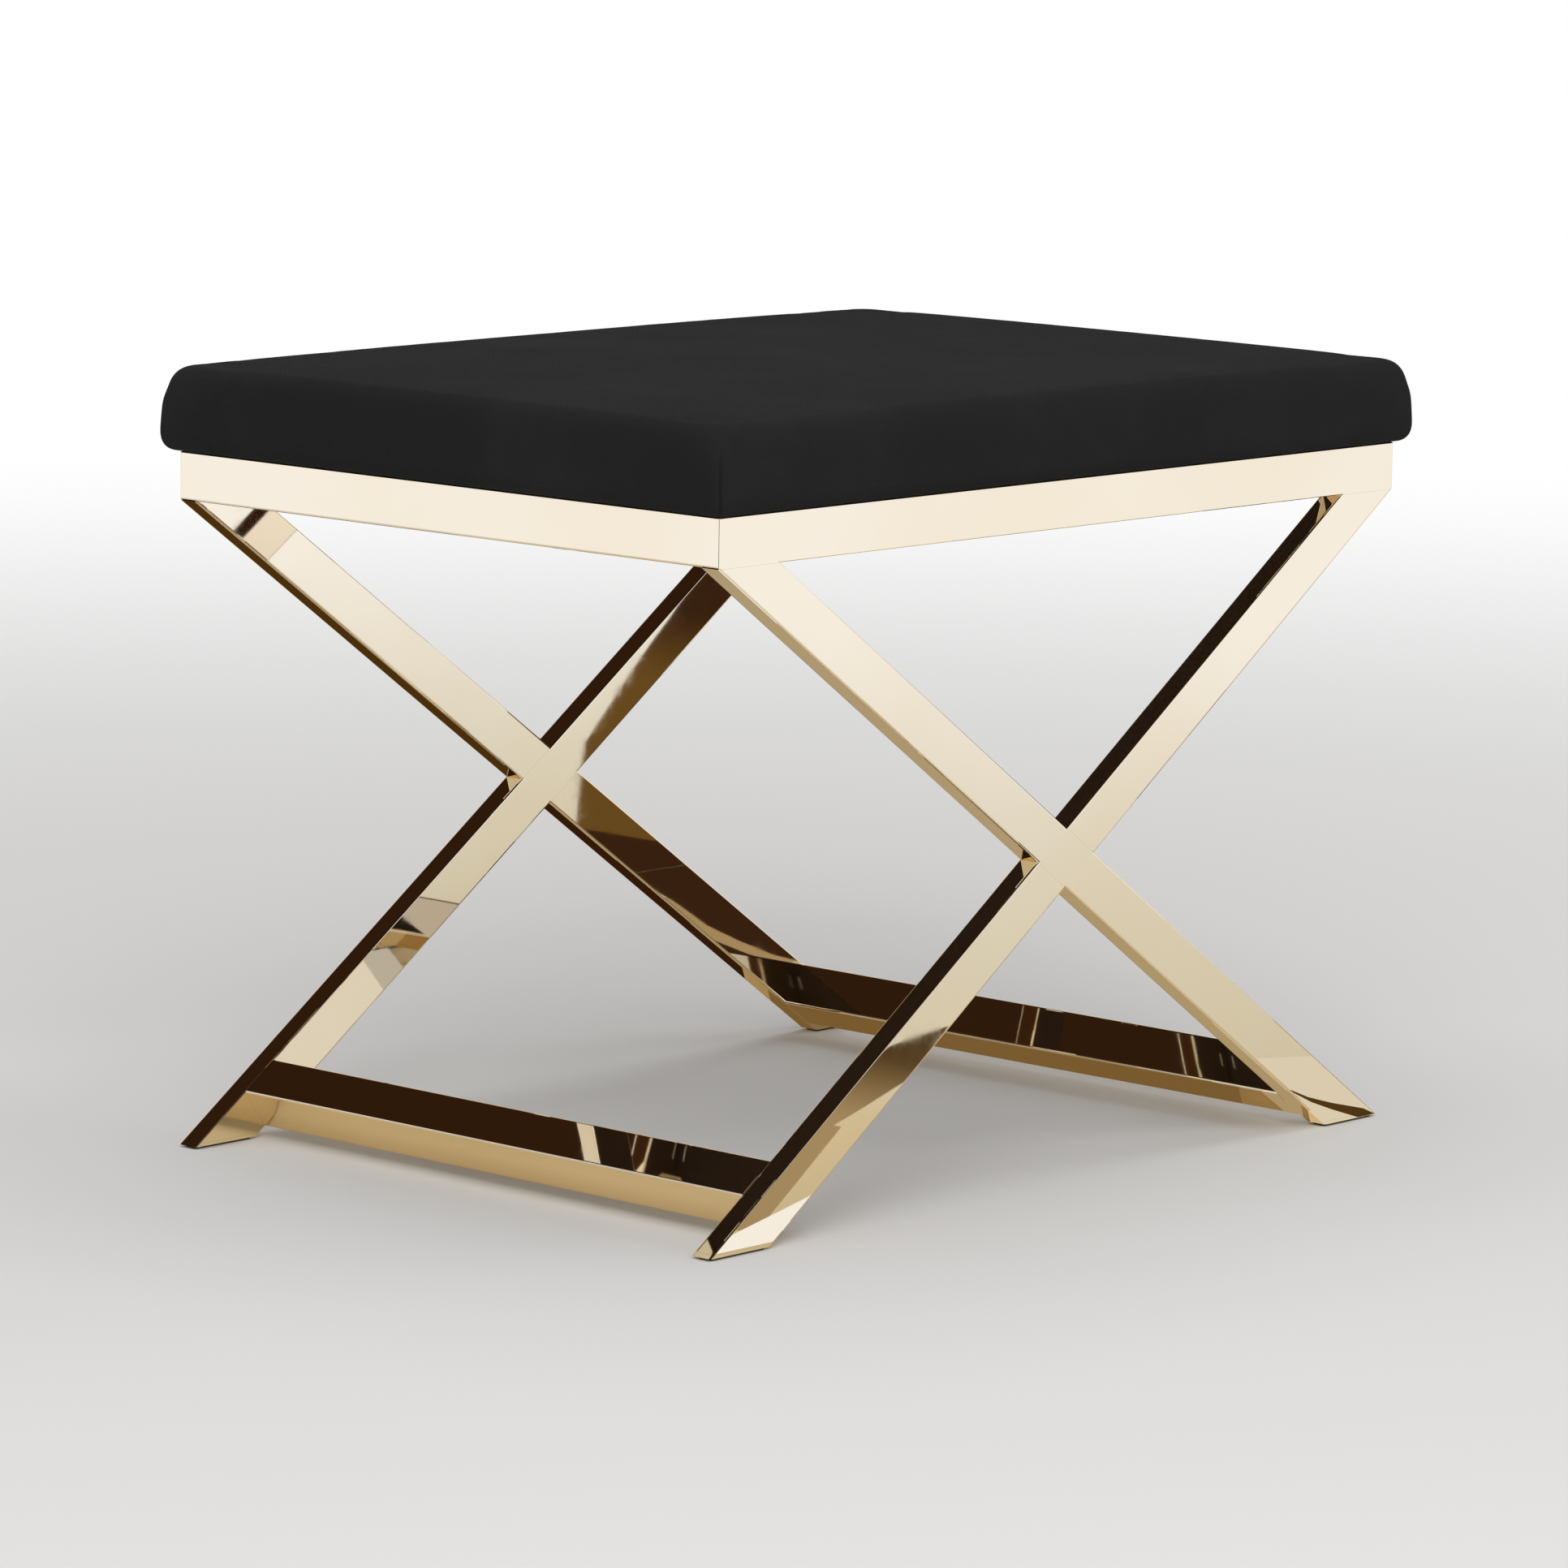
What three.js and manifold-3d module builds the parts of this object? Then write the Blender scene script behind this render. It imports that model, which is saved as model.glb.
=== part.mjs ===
// X frame stool: a welded frame of polished rectangular tube with an upholstered seat screwed on top.
// Millimetres, +Z up, width along X, depth along Y, origin on the floor under the middle of the seat.
import * as THREE from 'three';
import * as BufferGeometryUtils from 'three/addons/utils/BufferGeometryUtils.js';
import Module from 'manifold-3d';

const wasm = await Module();
wasm.setup();

// Frame
const FRAME_WIDTH = 620;
const FRAME_DEPTH = 454;
const FRAME_HEIGHT = 434;
const TUBE_WIDTH = 30;
const TUBE_THICKNESS = 15;
const TUBE_WALL = 1.5;
const TUBE_EDGE_RADIUS = 1.5;
const STRETCHER_SIDE = 30;
const STRETCHER_WALL = 1.5;
const STRETCHER_SETBACK = 9;
const MITRE_SEAM = 0.3;
const JOINT_GAP = 0.05;

// Feet
const GLIDE_THICKNESS = 1.5;
const GLIDE_INSET = 2.5;
const GLIDE_CORNER_RADIUS = 2;
const FOOT_PLATE_THICKNESS = 2;

// Corner gussets and seat screws
const GUSSET_LEG = 52;
const GUSSET_TIP = 8;
const GUSSET_THICKNESS = 3;
const SCREW_SETBACK = 18;
const SCREW_DIAMETER = 6;
const SCREW_LENGTH = 18;
const SCREW_TIP_CHAMFER = 0.8;
const SCREW_HEAD_DIAMETER = 11;
const SCREW_HEAD_HEIGHT = 4;
const SCREW_HEAD_RIM = 1.2;
const SCREW_SOCKET_WIDTH = 4.6;
const SCREW_SOCKET_DEPTH = 2.4;
const SCREW_CLEARANCE = 0.4;
const WASHER_DIAMETER = 14;
const WASHER_THICKNESS = 1.4;
const TNUT_FLANGE_DIAMETER = 19;
const TNUT_FLANGE_THICKNESS = 1.5;
const TNUT_BARREL_WALL = 0.9;
const TNUT_LENGTH = 9;
const TNUT_CLEARANCE = 0.3;

// Seat
const SEAT_CLEARANCE = 0.3;
const DUST_COVER_THICKNESS = 0.8;
const DUST_COVER_INSET = 11;
const DUST_COVER_CORNER_RADIUS = 12;
const BOARD_THICKNESS = 12;
const BOARD_INSET = 3;
const BOARD_CORNER_RADIUS = 6;
const COVER_THICKNESS = 1.2;
const COVER_HEM = 42;
const COVER_HEM_STEP = 3;
const CUSHION_HEIGHT = 52.5;
const CUSHION_CROWN = 4;
const CUSHION_BULGE = 9.5;
const CUSHION_TUCK = 1.5;
const CUSHION_BELLY_HEIGHT = 17;
const CUSHION_TOP_INSET = 6;
const CUSHION_CORNER_BOTTOM = 3;
const CUSHION_CORNER_TOP = 12;
const FOAM_CLEARANCE = 0.5;

// Exponents of the cushion's curves: 2 is round, and more is squarer
const SIDE_FULLNESS = 3;
const CROWN_FULLNESS = 2.4;

// Overrun of every cut past the face that it goes through
const OVERRUN = 5;

// Facets
const EDGE_SEGMENTS = 4;
const HOLE_SEGMENTS = 16;
const DOME_STEPS = 4;
const HEX_SIDES = 6;
const CORNER_SEGMENTS = 3;
const SIDE_SEGMENTS = 5;
const UPPER_STEPS = 6;
const LOWER_STEPS = 3;
const CROWN_STEPS = 3;

// Places that follow from the sizes
const halfWidth = FRAME_WIDTH / 2;
const halfDepth = FRAME_DEPTH / 2;
const railBottom = FRAME_HEIGHT - TUBE_WIDTH;
const footLevel = GLIDE_THICKNESS + JOINT_GAP;
const legRise = railBottom - footLevel;
const diagonal = Math.hypot(FRAME_WIDTH, legRise);
const slant = Math.atan2(legRise, FRAME_WIDTH) + Math.asin(TUBE_WIDTH / diagonal);
const legCut = TUBE_WIDTH / Math.sin(slant);
const legBottom = footLevel + FOOT_PLATE_THICKNESS + JOINT_GAP;
const legTop = railBottom - JOINT_GAP;
const crossing = footLevel + legRise / 2;
const screwHoleRadius = SCREW_DIAMETER / 2 + SCREW_CLEARANCE;
const tnutBarrelRadius = screwHoleRadius + TNUT_BARREL_WALL;
const dustCoverBottom = FRAME_HEIGHT + SEAT_CLEARANCE;
const hemBottom = dustCoverBottom + DUST_COVER_THICKNESS + SEAT_CLEARANCE;
const boardBottom = hemBottom + COVER_THICKNESS + SEAT_CLEARANCE;
const boardTop = boardBottom + BOARD_THICKNESS;

// Finishes
const POLISHED_GOLD = { color: 0xe6cf9f, roughness: 0.12, metalness: 1 };
const BLACK_COVER = { color: 0x1b1b1c, roughness: 0.85, metalness: 0 };
const BLACK_DUST_COVER = { color: 0x202022, roughness: 0.95, metalness: 0 };
const PALE_FOAM = { color: 0xe9dfc4, roughness: 0.95, metalness: 0 };
const PLYWOOD = { color: 0xc7a475, roughness: 0.8, metalness: 0 };
const ZINC = { color: 0xb4b7bb, roughness: 0.35, metalness: 1 };
const DARK_FELT = { color: 0x3a3632, roughness: 0.95, metalness: 0 };

function piece(name, geometry, finish) {
  const mesh = new THREE.Mesh(geometry, new THREE.MeshStandardMaterial(finish));
  mesh.name = name;
  return mesh;
}

// Solids

function toSolid(geometry) {
  const bare = geometry.clone();
  bare.deleteAttribute('normal');
  bare.deleteAttribute('uv');
  const merged = BufferGeometryUtils.mergeVertices(bare);
  const corners = merged.index.array;
  const triangles = [];
  for (let i = 0; i < corners.length; i += 3) {
    const [a, b, c] = corners.slice(i, i + 3);
    if (a !== b && b !== c && c !== a) {
      triangles.push(a, b, c);
    }
  }
  return new wasm.Manifold(new wasm.Mesh({
    numProp: 3,
    vertProperties: Float32Array.from(merged.attributes.position.array),
    triVerts: Uint32Array.from(triangles),
  }));
}

function toGeometry(solid) {
  const mesh = solid.getMesh();
  const geometry = new THREE.BufferGeometry();
  geometry.setAttribute('position', new THREE.BufferAttribute(Float32Array.from(mesh.vertProperties), 3));
  geometry.setIndex(new THREE.BufferAttribute(Uint32Array.from(mesh.triVerts), 1));
  geometry.computeVertexNormals();
  return geometry;
}

function cut(geometry, ...tools) {
  return toGeometry(tools.reduce((solid, tool) => solid.subtract(toSolid(tool)), toSolid(geometry)));
}

function common(geometry, other) {
  return toGeometry(toSolid(geometry).intersect(toSolid(other)));
}

// Outlines

function outline(points) {
  return new THREE.Shape(points.map(([x, y]) => new THREE.Vector2(x, y)));
}

function roundedRectangle(width, height, radius) {
  const shape = new THREE.Shape();
  const x = width / 2 - radius;
  const y = height / 2 - radius;
  shape.absarc(x, y, radius, 0, Math.PI / 2, false);
  shape.absarc(-x, y, radius, Math.PI / 2, Math.PI, false);
  shape.absarc(-x, -y, radius, Math.PI, 1.5 * Math.PI, false);
  shape.absarc(x, -y, radius, 1.5 * Math.PI, 2 * Math.PI, false);
  return shape;
}

function circle(x, y, radius) {
  const path = new THREE.Path();
  path.absarc(x, y, radius, 0, 2 * Math.PI, true);
  return path;
}

// A plate that lies flat, with its underside at the given height
function layer(shape, thickness, bottom, segments = EDGE_SEGMENTS / 2) {
  const geometry = new THREE.ExtrudeGeometry(shape, {
    depth: thickness, bevelEnabled: false, curveSegments: segments,
  });
  return geometry.translate(0, 0, bottom);
}

// A plate drawn in X and Z that stands upright, from the face at y = front to y = front + thickness
function upright(shape, thickness, front, radius = 0) {
  const geometry = new THREE.ExtrudeGeometry(shape, {
    depth: thickness - 2 * radius,
    bevelEnabled: radius > 0,
    bevelThickness: radius,
    bevelSize: radius,
    bevelOffset: -radius,
    bevelSegments: EDGE_SEGMENTS,
  });
  return geometry.rotateX(Math.PI / 2).translate(0, front + thickness - radius, 0);
}

function lathe(profile) {
  const points = profile.map(([x, y]) => new THREE.Vector2(x, y));
  return toGeometry(toSolid(new THREE.LatheGeometry(points, HOLE_SEGMENTS).rotateX(Math.PI / 2)));
}

// X frame, drawn with its outer face at y = 0 and its thickness towards +Y

// One leg's side outline between two heights: it rises towards +X where direction is 1
function legBand(direction, low, high, inset = 0) {
  const edge = (z) => -halfWidth + (z - footLevel) / Math.tan(slant);
  const corners = [
    [edge(low) + inset, low],
    [edge(low) + legCut - inset, low],
    [edge(high) + legCut - inset, high],
    [edge(high) + inset, high],
  ];
  return corners.map(([x, z]) => [direction * x, z]);
}

// The outline of the whole X and the rail above it, whose edges are rounded as one polished face
function polishedEnvelope() {
  const below = footLevel - OVERRUN;
  const [footOuter, footInner] = legBand(1, below, railBottom);
  const upperVertex = [0, footLevel + halfWidth * Math.tan(slant)];
  const lowerVertex = [0, footLevel + (halfWidth - legCut) * Math.tan(slant)];
  const mirrored = ([x, z]) => [-x, z];
  const leftSide = [
    [-halfWidth - OVERRUN, FRAME_HEIGHT],
    [-halfWidth - OVERRUN, railBottom],
    [-halfWidth, railBottom],
    [-legCut / 2, crossing],
    footOuter,
    footInner,
  ];
  const shape = outline([...leftSide, lowerVertex, ...leftSide.map(mirrored).reverse()]);
  const windowCorner = [-halfWidth + legCut, railBottom];
  shape.holes.push(outline([windowCorner, upperVertex, mirrored(windowCorner)]));
  return upright(shape, TUBE_THICKNESS, 0, TUBE_EDGE_RADIUS);
}

function legBore(direction) {
  const inset = TUBE_WALL / Math.sin(slant);
  const band = legBand(direction, footLevel - OVERRUN, railBottom + OVERRUN, inset);
  return upright(outline(band), TUBE_THICKNESS - 2 * TUBE_WALL, TUBE_WALL);
}

function leg(points, direction, envelope) {
  const blank = upright(outline(points), TUBE_THICKNESS, 0);
  return cut(common(blank, envelope), legBore(direction));
}

function throughLeg(envelope) {
  return leg(legBand(-1, legBottom, legTop), -1, envelope);
}

// The two halves of the other leg butt against the through leg's long sides
const weldShift = JOINT_GAP / Math.sin(2 * slant);
const shiftX = weldShift * Math.cos(slant);
const shiftZ = weldShift * Math.sin(slant);

function upperLeg(envelope) {
  const [, , topOuter, topInner] = legBand(1, legBottom, legTop);
  const butt = [
    [shiftX, footLevel + halfWidth * Math.tan(slant) + shiftZ],
    [legCut / 2 + shiftX, crossing + shiftZ],
  ];
  return leg([...butt, topOuter, topInner], 1, envelope);
}

function lowerLeg(envelope) {
  const [footOuter, footInner] = legBand(1, legBottom, legTop);
  const butt = [
    [-shiftX, footLevel + (halfWidth - legCut) * Math.tan(slant) - shiftZ],
    [-legCut / 2 - shiftX, crossing - shiftZ],
  ];
  return leg([footOuter, footInner, ...butt], 1, envelope);
}

function footPlate(direction, envelope) {
  const band = legBand(direction, footLevel, footLevel + FOOT_PLATE_THICKNESS);
  return common(upright(outline(band), TUBE_THICKNESS, 0), envelope);
}

function floorGlide() {
  const length = legCut - 2 * GLIDE_INSET;
  const shape = roundedRectangle(length, TUBE_THICKNESS - 2 * GLIDE_INSET, GLIDE_CORNER_RADIUS);
  return layer(shape, GLIDE_THICKNESS, 0);
}

// Top ring

// Plan of a rail with mitred ends, its outer face on y = 0 and its outer corners rounded up to the seam
function railPlan(length) {
  const half = length / 2;
  const radius = TUBE_EDGE_RADIUS;
  const seam = (MITRE_SEAM / 2) * Math.SQRT2;
  const seamAngle = -Math.PI / 4 - Math.acos(seam / (radius * Math.SQRT2));
  const shape = new THREE.Shape();
  shape.absarc(-half + radius, radius, radius, seamAngle, -Math.PI / 2, false);
  shape.absarc(half - radius, radius, radius, -Math.PI / 2, -Math.PI - seamAngle, false);
  shape.lineTo(half - TUBE_THICKNESS - seam, TUBE_THICKNESS);
  shape.lineTo(-half + TUBE_THICKNESS + seam, TUBE_THICKNESS);
  return shape;
}

function rail(length, bottom, edgeForm) {
  const blank = layer(railPlan(length), TUBE_WIDTH, bottom);
  const boreSize = [length + 2 * OVERRUN, TUBE_THICKNESS - 2 * TUBE_WALL, TUBE_WIDTH - 2 * TUBE_WALL];
  const bore = new THREE.BoxGeometry(...boreSize).translate(0, TUBE_THICKNESS / 2, bottom + TUBE_WIDTH / 2);
  return cut(common(blank, edgeForm), bore);
}

// A bar with rounded long edges, which gives a side rail its edges
function roundedBar(length) {
  const section = roundedRectangle(TUBE_THICKNESS, TUBE_WIDTH, TUBE_EDGE_RADIUS);
  const overlong = length + 2 * OVERRUN;
  const bar = layer(section, overlong, -overlong / 2);
  const axes = [new THREE.Vector3(0, 1, 0), new THREE.Vector3(0, 0, 1), new THREE.Vector3(1, 0, 0)];
  bar.applyMatrix4(new THREE.Matrix4().makeBasis(...axes));
  return bar.translate(0, TUBE_THICKNESS / 2, TUBE_WIDTH / 2);
}

// Floor stretchers

function stretcher() {
  const length = FRAME_DEPTH - 2 * (TUBE_THICKNESS + JOINT_GAP);
  const section = roundedRectangle(STRETCHER_SIDE, STRETCHER_SIDE, TUBE_EDGE_RADIUS);
  const boreSide = STRETCHER_SIDE - 2 * STRETCHER_WALL;
  const bore = new THREE.BoxGeometry(boreSide, boreSide, length + 2 * OVERRUN);
  return cut(layer(section, length, -length / 2), bore).rotateX(Math.PI / 2);
}

function placeStretcher(mesh, side) {
  const along = STRETCHER_SETBACK + STRETCHER_SIDE / 2;
  const across = TUBE_WIDTH / 2;
  const x = -halfWidth + legCut + along * Math.cos(slant) - across * Math.sin(slant);
  const z = footLevel + along * Math.sin(slant) + across * Math.cos(slant);
  mesh.position.set(-side * x, 0, z);
  mesh.rotation.y = side * slant;
  return mesh;
}

// Corner gussets and their screws, drawn round the screw's axis or from the ring's inner corner

function gusset() {
  const shape = outline([
    [0, 0], [GUSSET_LEG, 0], [GUSSET_LEG, GUSSET_TIP], [GUSSET_TIP, GUSSET_LEG], [0, GUSSET_LEG],
  ]);
  shape.holes.push(circle(SCREW_SETBACK, SCREW_SETBACK, screwHoleRadius));
  return layer(shape, GUSSET_THICKNESS, FRAME_HEIGHT - GUSSET_THICKNESS, HOLE_SEGMENTS / 2);
}

// Button head with a hex socket, its bearing face at height 0
function seatScrew() {
  const headRadius = SCREW_HEAD_DIAMETER / 2;
  const dome = SCREW_HEAD_HEIGHT - SCREW_HEAD_RIM;
  const profile = [];
  for (let i = 0; i <= DOME_STEPS; i += 1) {
    const angle = (Math.PI / 2) * (i / DOME_STEPS);
    profile.push([headRadius * Math.sin(angle), -SCREW_HEAD_RIM - dome * Math.cos(angle)]);
  }
  const radius = SCREW_DIAMETER / 2;
  profile.push([headRadius, 0], [radius, 0], [radius, SCREW_LENGTH - SCREW_TIP_CHAMFER]);
  profile.push([radius - SCREW_TIP_CHAMFER, SCREW_LENGTH], [0, SCREW_LENGTH]);
  const socketRadius = SCREW_SOCKET_WIDTH / Math.sqrt(3);
  const socketHeight = SCREW_SOCKET_DEPTH + OVERRUN;
  const socket = new THREE.CylinderGeometry(socketRadius, socketRadius, socketHeight, HEX_SIDES);
  socket.rotateX(Math.PI / 2).translate(0, 0, SCREW_SOCKET_DEPTH - SCREW_HEAD_HEIGHT - socketHeight / 2);
  return cut(lathe(profile), socket);
}

function ringProfile(inner, outer, low, high) {
  return [[inner, low], [outer, low], [outer, high], [inner, high], [inner, low]];
}

function washer() {
  return lathe(ringProfile(screwHoleRadius, WASHER_DIAMETER / 2, 0, WASHER_THICKNESS));
}

// Flange on top, flush with the board, and a barrel that hangs from it
function tnut() {
  const flangeRadius = TNUT_FLANGE_DIAMETER / 2;
  return lathe([
    [screwHoleRadius, -TNUT_LENGTH],
    [tnutBarrelRadius, -TNUT_LENGTH],
    [tnutBarrelRadius, -TNUT_FLANGE_THICKNESS],
    [flangeRadius, -TNUT_FLANGE_THICKNESS],
    [flangeRadius, 0],
    [screwHoleRadius, 0],
    [screwHoleRadius, -TNUT_LENGTH],
  ]);
}

// Plan positions of the four seat screws
const screwX = halfWidth - TUBE_THICKNESS - JOINT_GAP - SCREW_SETBACK;
const screwY = halfDepth - TUBE_THICKNESS - JOINT_GAP - SCREW_SETBACK;
const screwPlaces = [[-screwX, -screwY], [screwX, -screwY], [screwX, screwY], [-screwX, screwY]];

// Seat

function dustCover() {
  const width = FRAME_WIDTH - 2 * DUST_COVER_INSET;
  const depth = FRAME_DEPTH - 2 * DUST_COVER_INSET;
  const shape = roundedRectangle(width, depth, DUST_COVER_CORNER_RADIUS);
  shape.holes.push(...screwPlaces.map(([x, y]) => circle(x, y, screwHoleRadius)));
  return layer(shape, DUST_COVER_THICKNESS, dustCoverBottom, HOLE_SEGMENTS / 2);
}

const boardWidth = FRAME_WIDTH - 2 * BOARD_INSET;
const boardDepth = FRAME_DEPTH - 2 * BOARD_INSET;

function postAt(place, radius, low, high) {
  const post = new THREE.CylinderGeometry(radius, radius, high - low, HOLE_SEGMENTS);
  return post.rotateX(Math.PI / 2).translate(...place, (low + high) / 2);
}

function seatBoard() {
  const shape = roundedRectangle(boardWidth, boardDepth, BOARD_CORNER_RADIUS);
  const barrelHole = tnutBarrelRadius + TNUT_CLEARANCE;
  const flangeHole = TNUT_FLANGE_DIAMETER / 2 + TNUT_CLEARANCE;
  const seatTop = boardTop - TNUT_FLANGE_THICKNESS - TNUT_CLEARANCE;
  const holes = screwPlaces.flatMap((place) => [
    postAt(place, barrelHole, boardBottom - OVERRUN, boardTop + OVERRUN),
    postAt(place, flangeHole, seatTop, boardTop + OVERRUN),
  ]);
  return cut(layer(shape, BOARD_THICKNESS, boardBottom), ...holes);
}

// The cushion's side in section: offsets from the rail's outer face and heights above its top,
// from the tuck against the rail, out round the belly and in to the edge of the top
function sideSection() {
  const exponent = 2 / SIDE_FULLNESS;
  const reachBelow = CUSHION_BULGE + CUSHION_TUCK;
  const reachAbove = CUSHION_BULGE + CUSHION_TOP_INSET;
  const drop = CUSHION_BELLY_HEIGHT - SEAT_CLEARANCE;
  const rise = CUSHION_HEIGHT - CUSHION_BELLY_HEIGHT;
  const section = [];
  for (let i = LOWER_STEPS; i > 0; i -= 1) {
    const angle = (Math.PI / 2) * (i / LOWER_STEPS);
    section.push([
      reachBelow * Math.max(Math.cos(angle), 0) ** exponent - CUSHION_TUCK,
      CUSHION_BELLY_HEIGHT - drop * Math.sin(angle) ** exponent,
    ]);
  }
  for (let i = 0; i <= UPPER_STEPS; i += 1) {
    const angle = (Math.PI / 2) * (i / UPPER_STEPS);
    section.push([
      reachAbove * Math.max(Math.cos(angle), 0) ** exponent - CUSHION_TOP_INSET,
      CUSHION_BELLY_HEIGHT + rise * Math.sin(angle) ** exponent,
    ]);
  }
  return section;
}

// The same section moved inwards, square to itself
function insetSection(section, distance) {
  return section.map(([offset, height], i) => {
    const before = section[Math.max(i - 1, 0)];
    const after = section[Math.min(i + 1, section.length - 1)];
    const alongOffset = after[0] - before[0];
    const alongHeight = after[1] - before[1];
    const span = Math.hypot(alongOffset, alongHeight);
    return [offset - (distance * alongHeight) / span, height + (distance * alongOffset) / span];
  });
}

// One level loop round the cushion, with the same number of points for every size
function cushionRing(offset, height, scale = 1) {
  const blend = THREE.MathUtils.clamp(height / CUSHION_HEIGHT, 0, 1);
  const radius = THREE.MathUtils.lerp(CUSHION_CORNER_BOTTOM, CUSHION_CORNER_TOP, blend);
  const x = halfWidth + offset - radius;
  const y = halfDepth + offset - radius;
  const centres = [[x, -y], [x, y], [-x, y], [-x, -y]];
  const points = [];
  centres.forEach(([centreX, centreY], corner) => {
    for (let i = 0; i <= CORNER_SEGMENTS; i += 1) {
      const angle = (Math.PI / 2) * (corner - 1 + i / CORNER_SEGMENTS);
      points.push([centreX + radius * Math.cos(angle), centreY + radius * Math.sin(angle)]);
    }
    const [nextX, nextY] = centres[(corner + 1) % centres.length];
    const angle = (Math.PI / 2) * corner;
    const start = points[points.length - 1];
    const end = [nextX + radius * Math.cos(angle), nextY + radius * Math.sin(angle)];
    for (let i = 1; i < SIDE_SEGMENTS; i += 1) {
      const t = i / SIDE_SEGMENTS;
      points.push([THREE.MathUtils.lerp(start[0], end[0], t), THREE.MathUtils.lerp(start[1], end[1], t)]);
    }
  });
  return points.map(([px, py]) => new THREE.Vector3(px * scale, py * scale, FRAME_HEIGHT + height));
}

// Loops of the crowned top from its edge inwards, and the height of its middle
function crownRings([offset, height]) {
  const rings = [];
  for (let i = 1; i <= CROWN_STEPS; i += 1) {
    const share = 1 - i / (CROWN_STEPS + 1);
    rings.push(cushionRing(offset, height + CUSHION_CROWN * (1 - share ** CROWN_FULLNESS), share));
  }
  return { rings, middle: new THREE.Vector3(0, 0, FRAME_HEIGHT + height + CUSHION_CROWN) };
}

// A closed skin through the loops, from one middle point to the other
function loft(firstMiddle, rings, lastMiddle) {
  const count = rings[0].length;
  const vertices = [...rings.flat(), firstMiddle, lastMiddle];
  const first = vertices.length - 2;
  const last = vertices.length - 1;
  const lastRing = (rings.length - 1) * count;
  const index = [];
  for (let j = 0; j < count; j += 1) {
    const next = (j + 1) % count;
    index.push(next, j, first, lastRing + j, lastRing + next, last);
    for (let i = 0; i < lastRing; i += count) {
      index.push(i + j, i + next, i + count + next, i + j, i + count + next, i + count + j);
    }
  }
  const geometry = new THREE.BufferGeometry().setFromPoints(vertices);
  geometry.setIndex(index);
  geometry.computeVertexNormals();
  return geometry;
}

// Cover of one thickness: down inside the cushion, round the hem under the board, and up outside
function seatCover() {
  const outer = sideSection();
  const inner = insetSection(outer, COVER_THICKNESS);
  const hemLow = hemBottom - FRAME_HEIGHT;
  const hemHigh = hemLow + COVER_THICKNESS;
  const rimOffset = COVER_HEM_STEP - DUST_COVER_INSET;
  const insideTop = crownRings(inner[inner.length - 1]);
  const outsideTop = crownRings(outer[outer.length - 1]);
  const rings = [
    ...[...insideTop.rings].reverse(),
    ...[...inner].reverse().map(([offset, height]) => cushionRing(offset, height)),
    cushionRing(rimOffset, SEAT_CLEARANCE + COVER_THICKNESS),
    cushionRing(-DUST_COVER_INSET, hemHigh),
    cushionRing(-COVER_HEM, hemHigh),
    cushionRing(-COVER_HEM, hemLow),
    cushionRing(-DUST_COVER_INSET, hemLow),
    cushionRing(rimOffset, SEAT_CLEARANCE),
    ...outer.map(([offset, height]) => cushionRing(offset, height)),
    ...outsideTop.rings,
  ];
  const skin = loft(insideTop.middle, rings, outsideTop.middle);
  const holes = screwPlaces.map((place) => postAt(place, screwHoleRadius, hemBottom - OVERRUN, boardBottom));
  return cut(skin, ...holes);
}

// Foam over the board, with a skirt round the board's edge
function foamPad() {
  const section = insetSection(sideSection(), COVER_THICKNESS + FOAM_CLEARANCE).slice(LOWER_STEPS - 1);
  const top = crownRings(section[section.length - 1]);
  const rings = [...section.map(([offset, height]) => cushionRing(offset, height)), ...top.rings];
  const bottomMiddle = new THREE.Vector3(0, 0, rings[0][0].z);
  const clearance = 2 * SEAT_CLEARANCE;
  const pocketShape = roundedRectangle(boardWidth + clearance, boardDepth + clearance, BOARD_CORNER_RADIUS);
  const pocketBottom = boardBottom - OVERRUN;
  const pocket = layer(pocketShape, boardTop + SEAT_CLEARANCE - pocketBottom, pocketBottom);
  return cut(loft(bottomMiddle, rings, top.middle), pocket);
}

// Assembly

function xFrame(side) {
  const envelope = polishedEnvelope();
  const frame = new THREE.Group();
  frame.add(
    piece(`top_rail_${side}`, rail(FRAME_WIDTH, railBottom, envelope), POLISHED_GOLD),
    piece(`${side}_through_leg`, throughLeg(envelope), POLISHED_GOLD),
    piece(`${side}_upper_half_leg`, upperLeg(envelope), POLISHED_GOLD),
    piece(`${side}_lower_half_leg`, lowerLeg(envelope), POLISHED_GOLD),
  );
  // The through leg stands on the foot at +X of this face, and the half leg on the other
  for (const [foot, direction] of [['half', 1], ['through', -1]]) {
    const glide = piece(`${side}_${foot}_leg_glide`, floorGlide(), DARK_FELT);
    glide.position.set(direction * (legCut / 2 - halfWidth), TUBE_THICKNESS / 2, 0);
    frame.add(piece(`${side}_${foot}_leg_foot_plate`, footPlate(direction, envelope), POLISHED_GOLD), glide);
  }
  return frame;
}

function corner(name) {
  const group = new THREE.Group();
  const washerBottom = FRAME_HEIGHT - GUSSET_THICKNESS - JOINT_GAP - WASHER_THICKNESS;
  const fastener = new THREE.Group();
  fastener.position.set(SCREW_SETBACK, SCREW_SETBACK, 0);
  const washerPiece = piece(`seat_washer_${name}`, washer(), ZINC);
  washerPiece.position.z = washerBottom;
  const screw = piece(`seat_screw_${name}`, seatScrew(), ZINC);
  screw.position.z = washerBottom - JOINT_GAP;
  const nut = piece(`t_nut_${name}`, tnut(), ZINC);
  nut.position.z = boardTop;
  fastener.add(washerPiece, screw, nut);
  group.add(piece(`corner_gusset_${name}`, gusset(), POLISHED_GOLD), fastener);
  return group;
}

const stool = new THREE.Group();

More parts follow.
